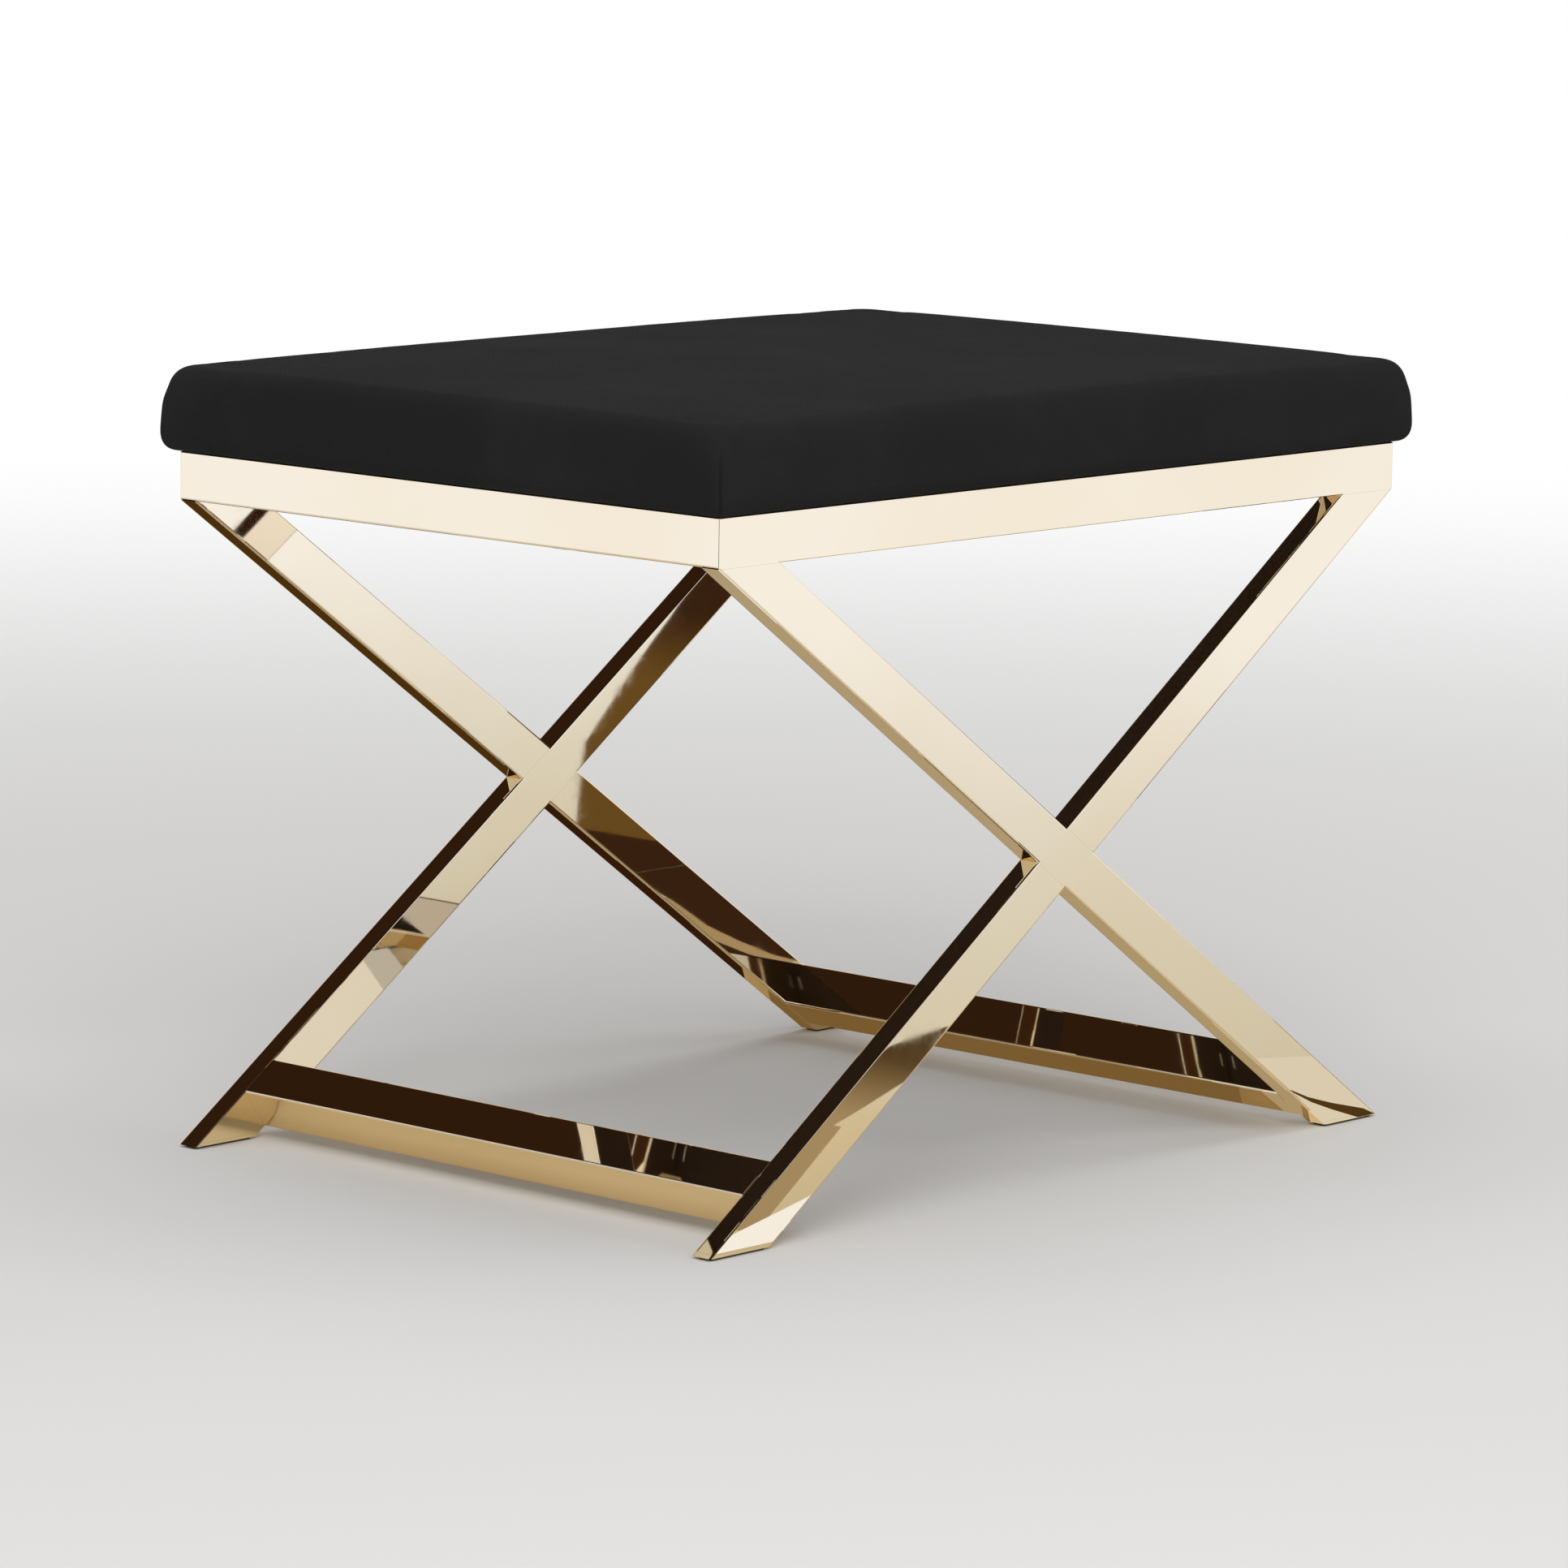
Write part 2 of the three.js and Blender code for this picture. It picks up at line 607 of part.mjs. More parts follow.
['front', 'back'].forEach((side, turn) => {
  const frame = xFrame(side);
  frame.rotation.z = turn * Math.PI;
  frame.position.y = (turn === 0 ? -1 : 1) * halfDepth;
  stool.add(frame);
});

for (const [name, side] of [['left', -1], ['right', 1]]) {
  const sideRail = piece(`top_rail_${name}`, rail(FRAME_DEPTH, 0, roundedBar(FRAME_DEPTH)), POLISHED_GOLD);
  sideRail.rotation.z = (side * Math.PI) / 2;
  sideRail.position.set(side * halfWidth, 0, railBottom);
  stool.add(sideRail, placeStretcher(piece(`stretcher_${name}`, stretcher(), POLISHED_GOLD), side));
}

const gussetX = halfWidth - TUBE_THICKNESS - JOINT_GAP;
const gussetY = halfDepth - TUBE_THICKNESS - JOINT_GAP;
const cornerPlaces = [
  ['front_left', -gussetX, -gussetY], ['front_right', gussetX, -gussetY],
  ['back_right', gussetX, gussetY], ['back_left', -gussetX, gussetY],
];
cornerPlaces.forEach(([name, x, y], quarter) => {
  const group = corner(name);
  group.position.set(x, y, 0);
  group.rotation.z = (quarter * Math.PI) / 2;
  stool.add(group);
});

stool.add(
  piece('dust_cover', dustCover(), BLACK_DUST_COVER),
  piece('seat_board', seatBoard(), PLYWOOD),
  piece('foam_pad', foamPad(), PALE_FOAM),
  piece('seat_cover', seatCover(), BLACK_COVER),
);

export default stool;
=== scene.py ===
"""X frame stool: finishes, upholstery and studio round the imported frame. Metres, +Z up."""
import math
import random

import bmesh
import bpy
from bpy.props import FloatProperty, FloatVectorProperty, PointerProperty
from mathutils import Matrix, Vector, kdtree, noise


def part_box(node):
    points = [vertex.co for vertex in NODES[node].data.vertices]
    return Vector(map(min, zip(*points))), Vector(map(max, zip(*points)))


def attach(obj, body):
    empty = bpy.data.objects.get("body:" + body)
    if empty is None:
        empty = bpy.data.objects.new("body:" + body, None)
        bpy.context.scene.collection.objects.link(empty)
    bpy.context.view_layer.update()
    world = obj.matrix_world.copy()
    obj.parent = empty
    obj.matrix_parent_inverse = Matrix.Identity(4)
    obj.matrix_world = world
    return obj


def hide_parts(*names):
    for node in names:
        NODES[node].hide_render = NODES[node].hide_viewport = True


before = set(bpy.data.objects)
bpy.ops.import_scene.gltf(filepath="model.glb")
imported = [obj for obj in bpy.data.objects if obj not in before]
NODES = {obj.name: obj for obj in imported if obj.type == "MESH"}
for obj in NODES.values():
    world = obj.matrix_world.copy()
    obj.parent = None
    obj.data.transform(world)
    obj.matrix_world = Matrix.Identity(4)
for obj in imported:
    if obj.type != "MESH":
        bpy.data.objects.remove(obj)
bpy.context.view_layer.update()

bl_info = {
    "name": "X frame stool",
    "version": (1, 0, 0),
    "blender": (4, 5, 0),
    "location": "3D View > Sidebar > Stool",
    "description": "Finishes and upholsters a polished x frame stool and sets it in a plain studio",
    "category": "Object",
}

MM = 0.001
BODY = "root"

# Places and sizes read from the frame
COVER_LOW, COVER_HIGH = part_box("seat_cover")
RAIL_LOW, RAIL_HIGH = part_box("top_rail_front")
SIDE_RAIL_LOW, SIDE_RAIL_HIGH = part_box("top_rail_left")
DUST_LOW, DUST_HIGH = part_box("dust_cover")
BOARD_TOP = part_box("seat_board")[1].z
GUSSET_LOW, GUSSET_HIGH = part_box("corner_gusset_front_left")
HALF_WIDTH = -SIDE_RAIL_LOW.x
HALF_DEPTH = -RAIL_LOW.y
RAIL_TOP = RAIL_HIGH.z
RAIL_THICKNESS = SIDE_RAIL_HIGH.x - SIDE_RAIL_LOW.x
CUSHION_BULGE = COVER_HIGH.x - HALF_WIDTH
CUSHION_LIFT = COVER_LOW.z - RAIL_TOP
CUSHION_TOTAL = COVER_HIGH.z - RAIL_TOP

GOLD_WORDS = ("rail", "leg", "stretcher", "foot_plate", "gusset")
STEEL_WORDS = ("screw", "washer", "t_nut")


# Settings

class CushionSettings(bpy.types.PropertyGroup):
    crown: FloatProperty(
        name="Crown", description="Rise of the middle of the top above its edge",
        default=4 * MM, unit="LENGTH")
    tuck: FloatProperty(
        name="Tuck", description="How far the bottom edge is drawn in from the rail's face",
        default=1.5 * MM, unit="LENGTH")
    belly: FloatProperty(
        name="Belly height", description="Height of the widest line above the rail",
        default=17 * MM, unit="LENGTH")
    top_inset: FloatProperty(
        name="Top inset",
        description="Where the rounded edge meets the top, inside the rail's face",
        default=6 * MM, unit="LENGTH")
    fullness: FloatProperty(
        name="Fullness", description="Exponent of the side's curve: 2 is round and more is squarer",
        default=3.0)
    corner_bottom: FloatProperty(
        name="Bottom corner", description="Plan radius of the corners at the rail",
        default=3 * MM, unit="LENGTH")
    corner_top: FloatProperty(
        name="Top corner", description="Plan radius of the corners at the top edge",
        default=12 * MM, unit="LENGTH")
    thickness: FloatProperty(
        name="Cloth", description="Thickness of the cover", default=1.2 * MM, unit="LENGTH")
    hem: FloatProperty(
        name="Hem",
        description="Width of cover turned under the board",
        default=42 * MM, unit="LENGTH")
    pleat_height: FloatProperty(
        name="Pleat height", description="Top of the folded corner pleats above the rail",
        default=43 * MM, unit="LENGTH")
    pleat_depth: FloatProperty(
        name="Pleat depth", description="Depth of the crease at each corner pleat",
        default=1.3 * MM, unit="LENGTH")
    pleat_lap: FloatProperty(
        name="Pleat lap", description="Height of the folded edge beside the crease",
        default=0.8 * MM, unit="LENGTH")
    pressure: FloatProperty(
        name="Stuffing pressure", description="Pressure that swells the cover in the simulation",
        default=0.2)
    swell_limit: FloatProperty(
        name="Swell limit", description="Most that stuffing may move the cover",
        default=1.4 * MM, unit="LENGTH")
    cloth_colour: FloatVectorProperty(
        name="Cloth colour", description="Matte black of the cover",
        default=(0.0195, 0.0195, 0.0202), subtype="COLOR", size=3)


class MetalSettings(bpy.types.PropertyGroup):
    colour: FloatVectorProperty(
        name="Gold", description="Colour of the plating seen square on",
        default=(0.93, 0.855, 0.74), subtype="COLOR", size=3)
    deep_colour: FloatVectorProperty(
        name="Deeper gold", description="Colour where the plating is a little thicker",
        default=(0.91, 0.82, 0.68), subtype="COLOR", size=3)
    edge_tint: FloatVectorProperty(
        name="Edge tint", description="Colour of the plating at a glancing angle",
        default=(0.80, 0.58, 0.27), subtype="COLOR", size=3)
    gloss: FloatProperty(
        name="Roughness", description="Roughness of the cleanest polished metal",
        default=0.02, min=0.0, max=1.0)
    haze: FloatProperty(
        name="Haze", description="Roughness added where the polish is smudged",
        default=0.03, min=0.0, max=1.0)
    waviness: FloatProperty(
        name="Waviness", description="Height of the slow waves that polishing leaves",
        default=0.1 * MM, unit="LENGTH")


class HardwareSettings(bpy.types.PropertyGroup):
    staple_width: FloatProperty(
        name="Staple width", description="Width of a staple's crown",
        default=10 * MM, unit="LENGTH")
    staple_wire: FloatProperty(
        name="Staple wire", description="Thickness of the staple wire",
        default=0.9 * MM, unit="LENGTH")
    staple_pitch: FloatProperty(
        name="Staple pitch", description="Distance between staples in a row",
        default=26 * MM, unit="LENGTH")
    staple_inset: FloatProperty(
        name="Staple inset", description="Distance of the staples from the rails' inner faces",
        default=5 * MM, unit="LENGTH")
    bead_size: FloatProperty(
        name="Weld size", description="Leg of the weld beads under the corner gussets",
        default=2.4 * MM, unit="LENGTH")
    bead_step: FloatProperty(
        name="Weld ripple", description="Distance between ripples of a weld bead",
        default=1.8 * MM, unit="LENGTH")


class StudioSettings(bpy.types.PropertyGroup):
    lens: FloatProperty(
        name="Lens", description="Focal length on a sensor 36 mm wide", default=168.08)
    heading: FloatProperty(
        name="Heading", description="Direction of view, clockwise from +Y seen from above",
        default=0.82464, subtype="ANGLE")
    tilt: FloatProperty(
        name="Tilt", description="Downward angle of view", default=0.15474, subtype="ANGLE")
    roll: FloatProperty(
        name="Roll",
        description="Turn of the camera about its view",
        default=0.01359, subtype="ANGLE")
    camera_place: FloatVectorProperty(
        name="Camera", description="Place of the camera", default=(-3.3276, -3.0696, 0.9276),
        subtype="TRANSLATION", size=3)
    floor_colour: FloatVectorProperty(
        name="Floor", description="Colour of the plain floor", default=(0.80, 0.79, 0.78),
        subtype="COLOR", size=3)
    # A dark tone overhead that only the polished metal sees, while the lamps and world light
    # evenly: painted reflection
    overhead_colour: FloatVectorProperty(
        name="Overhead", description="Dark ceiling that the polished metal mirrors",
        default=(0.030, 0.0125, 0.005), subtype="COLOR", size=3)
    # The floor's colour in the polished metal alone, warmer than its own and tan near the stool:
    # painted reflection
    mirrored_floor_colour: FloatVectorProperty(
        name="Mirrored floor",
        description="Tone of the floor round the stool in the polished metal",
        default=(0.82, 0.785, 0.655), subtype="COLOR", size=3)
    mirrored_near_colour: FloatVectorProperty(
        name="Mirrored near floor",
        description="Tone of the floor under the stool in the polished metal",
        default=(0.82, 0.70, 0.46), subtype="COLOR", size=3)
    # Tones of glowing patches that only the polished metal sees: painted reflections
    upright_reflection_colour: FloatVectorProperty(
        name="Upright card",
        description="Brown card beside the stool that the polished metal mirrors",
        default=(0.145, 0.078, 0.019), subtype="COLOR", size=3)
    warm_reflection_colour: FloatVectorProperty(
        name="Warm card",
        description="Sand card on the floor that the polished metal mirrors",
        default=(0.40, 0.29, 0.15), subtype="COLOR", size=3)
    tan_reflection_colour: FloatVectorProperty(
        name="Tan card",
        description="Brown card on the floor in front, which the polished metal mirrors",
        default=(0.15, 0.08, 0.022), subtype="COLOR", size=3)
    pale_reflection_colour: FloatVectorProperty(
        name="Pale card", description="Pale card under the stool that the polished metal mirrors",
        default=(0.78, 0.74, 0.64), subtype="COLOR", size=3)
    ambient: FloatProperty(
        name="Ambient", description="Strength of the even light from all round", default=0.45)
    top_power: FloatProperty(
        name="Top", description="Power of the lamp above", default=16.5, unit="POWER")
    key_power: FloatProperty(
        name="Key", description="Power of the key lamp", default=66.0, unit="POWER")
    fill_power: FloatProperty(
        name="Fill", description="Power of the fill lamp", default=14.0, unit="POWER")


# Shader helpers

class Shader:
    """Adds nodes to one node tree, with values or links given by input name."""

    def __init__(self, tree):
        self.tree = tree
        tree.nodes.clear()

    def add(self, kind, inputs=None, **settings):
        node = self.tree.nodes.new("ShaderNode" + kind)
        for key, value in settings.items():
            setattr(node, key, value)
        for key, value in (inputs or {}).items():
            self.give(node.inputs[key], value)
        return node

    def give(self, socket, value):
        """Links or sets a socket; a colour comes as three channels."""
        if isinstance(value, bpy.types.NodeSocket):
            self.tree.links.new(value, socket)
        elif socket.type == "RGBA":
            socket.default_value = (*value, 1.0)
        else:
            socket.default_value = value

    def place(self):
        return self.add("TexCoord").outputs["Object"]

    def math(self, operation, first, second=0.0):
        return self.add("Math", {0: first, 1: second}, operation=operation).outputs[0]

    def noise(self, vector, scale, detail=2.0, roughness=0.5):
        inputs = {"Vector": vector, "Scale": scale, "Detail": detail, "Roughness": roughness}
        return self.add("TexNoise", inputs).outputs["Fac"]

    def spread(self, value, low, high, to_low=0.0, to_high=1.0):
        inputs = {
            "Value": value, "From Min": low, "From Max": high, "To Min": to_low, "To Max": to_high}
        return self.add("MapRange", inputs, interpolation_type="SMOOTHSTEP").outputs["Result"]

    def mix(self, factor, first, second):
        inputs = {"Factor": factor, 6: first, 7: second}
        return self.add("Mix", inputs, data_type="RGBA").outputs[2]

    def bump(self, height, distance, normal=None):
        inputs = {"Height": height, "Distance": distance, "Strength": 1.0}
        if normal is not None:
            inputs["Normal"] = normal
        return self.add("Bump", inputs).outputs["Normal"]

    def glow(self, colour):
        return self.add("Emission", {"Color": colour, "Strength": 1.0}).outputs[0]

    def output(self, surface):
        self.add("OutputMaterial", {"Surface": surface})

    def finish(self, inputs):
        self.output(self.add("BsdfPrincipled", inputs).outputs[0])


def toned(colour, share):
    """The colour darkened or lightened by a share."""
    return tuple(share * channel for channel in colour)


def new_material(name):
    material = bpy.data.materials.new(name)
    material.use_nodes = True
    return material, Shader(material.node_tree)


def nodes_with(*words):
    return [name for name in NODES if any(word in name for word in words)]


def dress(material, *words):
    """Finishes the frame's nodes that have one of the words in their names."""
    for name in nodes_with(*words):
        mesh = NODES[name].data
        mesh.materials.clear()
        mesh.materials.append(material)


# Finishes

RIPPLE_SHARE = 0.02
LINE_SHARE = 0.002
THREAD_SCALE = 260.0
# Weave hollows painted darker and crowns lighter, painted shade and highlight; worn patches are
# lighter, their crowns most
WEAVE_SHADE_AND_HIGHLIGHT_SHARES = 0.72, 1.30
WEAR_AND_HIGHLIGHT_SHARE = 1.56
PLY_THICKNESS = 1.7 * MM


def polished_gold():
    """Mirror-polished gold plating: slow waves, faint polishing lines and patches of haze."""
    metal = bpy.context.scene.stool_metal
    material, shader = new_material("polished_gold")
    place = shader.place()
    waves = shader.noise(place, scale=11.0, detail=1.0)
    ripples = shader.noise(place, scale=60.0)
    lines = shader.noise(place, scale=1400.0, detail=1.0)
    normal = shader.bump(waves, metal.waviness)
    normal = shader.bump(ripples, metal.waviness * RIPPLE_SHARE, normal)
    normal = shader.bump(lines, metal.waviness * LINE_SHARE, normal)
    patches = shader.noise(place, scale=23.0, detail=5.0, roughness=0.6)
    smudges = shader.spread(patches, 0.48, 0.72)
    roughness = shader.spread(smudges, 0.0, 1.0, metal.gloss, metal.gloss + metal.haze)
    film = shader.spread(shader.noise(place, scale=5.0, detail=3.0), 0.35, 0.65)
    colour = shader.mix(film, metal.colour, metal.deep_colour)
    shader.finish({
        "Base Color": colour,
        "Metallic": 1.0,
        "Roughness": roughness,
        "Specular Tint": metal.edge_tint,
        "Normal": normal,
    })
    return material


def zinc_plate():
    """Dull bright zinc with a fine spangle."""
    material, shader = new_material("zinc_plate")
    place = shader.place()
    spangle = shader.noise(place, scale=900.0, detail=3.0)
    dull, bright = (0.46, 0.47, 0.50), (0.66, 0.67, 0.69)
    colour = shader.mix(spangle, dull, bright)
    shader.finish({
        "Base Color": colour,
        "Metallic": 1.0,
        "Roughness": shader.spread(spangle, 0.3, 0.7, 0.24, 0.42),
        "Normal": shader.bump(spangle, 0.01 * MM),
    })
    return material


def plain_weave(shader, place, normal):
    """Height of a plain weave whose threads follow the axes, on faces that look any way."""
    threads = []
    for axis in "XYZ":
        wave = shader.add("TexWave", {
            "Vector": place, "Scale": THREAD_SCALE,
            "Distortion": 0.6, "Detail": 1.0, "Detail Scale": 2.0,
        }, bands_direction=axis)
        threads.append(shader.math("SUBTRACT", wave.outputs["Fac"], 0.5))
    facing = shader.add("SeparateXYZ", {"Vector": normal}).outputs
    height = 0.5
    for axis, first, second in (("X", 1, 2), ("Y", 0, 2), ("Z", 0, 1)):
        share = shader.math("MULTIPLY", facing[axis], facing[axis])
        crossing = shader.math("MULTIPLY", threads[first], threads[second])
        crossing = shader.math("MULTIPLY", crossing, 2.0)
        height = shader.math("ADD", shader.math("MULTIPLY", share, crossing), height)
    return height


def black_cloth():
    """Smooth matte black upholstery with a fine plain weave and a short soft nap; the weave's
    hollows are painted darker and its crowns lighter as painted shade and highlight, and worn
    patches are lighter still.
    """
    cushion = bpy.context.scene.stool_cushion
    material, shader = new_material("black_cloth")
    coordinates = shader.add("TexCoord").outputs
    place = coordinates["Object"]
    weave = plain_weave(shader, place, coordinates["Normal"])
    nap = shader.noise(place, scale=700.0, detail=3.0, roughness=0.7)
    wear = shader.noise(place, scale=7.0, detail=4.0, roughness=0.6)
    black = cushion.cloth_colour
    # Crowns of the weave painted lighter and its hollows darker: painted highlight and shade
    threads = shader.mix(weave, *(toned(black, share) for share in WEAVE_SHADE_AND_HIGHLIGHT_SHARES))
    # Worn patches lighten the cloth, which is real wear, and their crowns stay lighter than the
    # hollows as painted highlight
    wear_and_highlight = shader.mix(weave, black, toned(black, WEAR_AND_HIGHLIGHT_SHARE))
    colour = shader.mix(shader.spread(wear, 0.4, 0.75), threads, wear_and_highlight)
    normal = shader.bump(nap, 0.05 * MM, shader.bump(weave, 0.14 * MM))
    shader.finish({
        "Base Color": colour,
        "Roughness": shader.spread(nap, 0.2, 0.8, 0.78, 0.95),
        "Specular IOR Level": 0.02,
        "Sheen Weight": 0.008,
        "Sheen Roughness": 0.6,
        "Normal": normal,
    })
    return material


def dust_cloth():
    """Brown-black non-woven dust cloth: pressed fibres with a small embossed grid."""
    material, shader = new_material("dust_cloth")
    place = shader.place()
    fibres = shader.noise(place, scale=900.0, detail=6.0, roughness=0.75)
    dots = shader.add("TexVoronoi", {"Vector": place, "Scale": 480.0, "Randomness": 0.0})
    dot = shader.spread(dots.outputs["Distance"], 0.1, 0.35)
    dark, light = (0.024, 0.012, 0.006), (0.036, 0.019, 0.010)
    colour = shader.mix(fibres, dark, light)
    shader.finish({
        "Base Color": colour,
        "Roughness": 0.92,
        "Specular IOR Level": 0.2,
        "Normal": shader.bump(fibres, 0.08 * MM, shader.bump(dot, 0.1 * MM)),
    })
    return material


def foam_finish():
    """Cream upholstery foam with open cells, painted darker in their hollows as shade."""
    material, shader = new_material("upholstery_foam")
    place = shader.place()
    cells = shader.add("TexVoronoi", {"Vector": place, "Scale": 900.0}).outputs["Distance"]
    # Cell hollows painted darker than the cell walls: painted shade
    painted_hollow_shade, cream = (0.62, 0.55, 0.38), (0.85, 0.79, 0.62)
    colour = shader.mix(cells, painted_hollow_shade, cream)
    shader.finish({
        "Base Color": colour, "Roughness": 0.95, "Normal": shader.bump(cells, 0.3 * MM),
    })
    return material


def plywood():
    """Birch plywood with long grain along X and layered edges."""
    material, shader = new_material("plywood")
    place = shader.place()
    stretched = shader.add("Mapping", {"Vector": place, "Scale": (3.0, 60.0, 60.0)}).outputs[0]
    grain = shader.noise(stretched, scale=3.0, detail=6.0, roughness=0.65)
    height = shader.add("SeparateXYZ", {"Vector": place}).outputs["Z"]
    layer = shader.spread(shader.math("PINGPONG", height, PLY_THICKNESS), 0.0, PLY_THICKNESS)
    glue_line, late_wood, early_wood = (0.36, 0.23, 0.12), (0.42, 0.27, 0.14), (0.68, 0.51, 0.32)
    colour = shader.mix(layer, glue_line, shader.mix(grain, late_wood, early_wood))
    shader.finish({
        "Base Color": colour, "Roughness": 0.7, "Normal": shader.bump(grain, 0.1 * MM),
    })
    return material


def glide_rubber():
    """Dark rubber of the floor glides, dusty in places."""
    material, shader = new_material("glide_rubber")
    place = shader.place()
    grain = shader.noise(place, scale=800.0, detail=4.0)
    black, dusty = (0.02, 0.019, 0.018), (0.06, 0.055, 0.05)
    colour = shader.mix(grain, black, dusty)
    shader.finish({
        "Base Color": colour, "Roughness": 0.85, "Normal": shader.bump(grain, 0.05 * MM),
    })
    return material


# Mesh helpers

def placed(name, data):
    """A new object in the scene."""
    made = bpy.data.objects.new(name, data)
    bpy.context.scene.collection.objects.link(made)
    return made


def new_piece(name, mesh, material):
    """A finished piece that rides on the stool's only body."""
    mesh.materials.append(material)
    piece = placed(name, mesh)
    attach(piece, BODY)
    return piece


def made_mesh(name, work, smooth=True):
    """The mesh that was worked out, with smooth or flat faces."""
    for face in work.faces:
        face.smooth = smooth
    mesh = bpy.data.meshes.new(name)
    work.to_mesh(mesh)
    work.free()
    return mesh


def band(work, loops):
    """Adds the faces between each closed loop and the next."""
    for low, high in zip(loops, loops[1:]):
        for j in range(len(low)):
            following = (j + 1) % len(low)
            work.faces.new((low[j], low[following], high[following], high[j]))


def rod(work, loops):
    """Adds the faces between the loops and over both ends."""
    band(work, loops)
    work.faces.new(loops[0][::-1])
    work.faces.new(loops[-1])


def apply_modifiers(piece):
    """Keeps the mesh that the piece's modifiers make, and removes them."""
    graph = bpy.context.evaluated_depsgraph_get()
    made = bpy.data.meshes.new_from_object(piece.evaluated_get(graph), depsgraph=graph)
    piece.modifiers.clear()
    piece.data = made


def smoothstep(value, low, high):
    share = min(max((value - low) / (high - low), 0.0), 1.0)
    return share * share * (3 - 2 * share)


# Cushion

CORNER_STEPS = 18
SIDE_STEPS = 96
SIDE_GATHERING = 0.85
SECTION_SPACING = 1.6 * MM
SECTION_SAMPLES = 300
CROWN_STEPS = 40
CROWN_CROWDING = 1.2
CROWN_EDGE = 0.12
CROWN_POWER = 2.4

DUST_INSET = DUST_LOW.x + HALF_WIDTH
HEM_STEP = 3 * MM
HEM_LOW = DUST_HIGH.z - RAIL_TOP + CUSHION_LIFT
BORE_RADIUS = 3.4 * MM
BORE_DEPTH = 8 * MM
FOAM_GAP = 0.8 * MM
FOAM_CROWN_SHARE = 0.8

PLEAT_WIDTH = 0.9 * MM
PLEAT_SPREAD = 7 * MM
PLEAT_FADE = 14 * MM
DIMPLE_DROP = 4 * MM
DIMPLE_SIZE = 6 * MM
DIMPLE_DEPTH = 0.5 * MM
LUMPS_PER_METRE = 11.0
LUMP_HEIGHT = 0.45 * MM
RIPPLES_PER_METRE = 34.0
RIPPLE_HEIGHT = 0.12 * MM
RIPPLE_SHIFT = Vector((7.3, 1.9, 4.1))
EVEN_BELOW = 3 * MM
UNEVEN_ABOVE = 12 * MM

STUFFING_GRID = 6 * MM
STUFFING_FRAMES = 20
STUFFING_NEIGHBOURS = 8
STUFFING_CLOTH = {
    "quality": 6,
    "mass": 0.4,
    "tension_stiffness": 40.0,
    "compression_stiffness": 40.0,
    "shear_stiffness": 15.0,
    "bending_stiffness": 2.0,
    "shrink_min": -0.001,
    "use_pressure": True,
}
HELD_BELOW = 5 * MM
FREE_ABOVE = 15 * MM
CORNER_HOLD = 0.6
CORNER_HELD = 8 * MM
CORNER_FREE = 30 * MM


def cushion_side():
    """The side in section, as (offset, height) from the rail's outer top edge, evenly stepped."""
    cushion = bpy.context.scene.stool_cushion
    exponent = 2 / cushion.fullness
    below = CUSHION_BULGE + cushion.tuck
    above = CUSHION_BULGE + cushion.top_inset
    drop = cushion.belly - CUSHION_LIFT
    rise = CUSHION_TOTAL - cushion.crown - cushion.belly
    dense = []
    for i in range(SECTION_SAMPLES + 1):
        angle = (math.pi / 2) * (1 - i / SECTION_SAMPLES)
        reach = max(math.cos(angle), 0.0) ** exponent
        height = cushion.belly - drop * math.sin(angle) ** exponent
        dense.append((below * reach - cushion.tuck, height))
    for i in range(1, SECTION_SAMPLES + 1):
        angle = (math.pi / 2) * (i / SECTION_SAMPLES)
        reach = max(math.cos(angle), 0.0) ** exponent
        height = cushion.belly + rise * math.sin(angle) ** exponent
        dense.append((above * reach - cushion.top_inset, height))
    return even_steps(dense, SECTION_SPACING)


def even_steps(points, spacing):
    """The same line with points at even distances, its ends kept."""
    lengths = [0.0]
    for first, second in zip(points, points[1:]):
        lengths.append(lengths[-1] + math.dist(first, second))
    count = max(round(lengths[-1] / spacing), 2)
    stepped = []
    j = 0
    for i in range(count + 1):
        target = lengths[-1] * i / count
        while j < len(points) - 2 and lengths[j + 1] < target:
            j += 1
        span = lengths[j + 1] - lengths[j]
        share = (target - lengths[j]) / span if span else 0.0
        stepped.append(tuple(a + (b - a) * share for a, b in zip(points[j], points[j + 1])))
    return stepped


def crown_height(x, y):
    """Rise of the crowned top at a place inside its edge."""
    cushion = bpy.context.scene.stool_cushion
    across = min(abs(x) / (HALF_WIDTH - cushion.top_inset), 1.0)
    along = min(abs(y) / (HALF_DEPTH - cushion.top_inset), 1.0)
    return cushion.crown * (1 - across ** CROWN_POWER) * (1 - along ** CROWN_POWER)


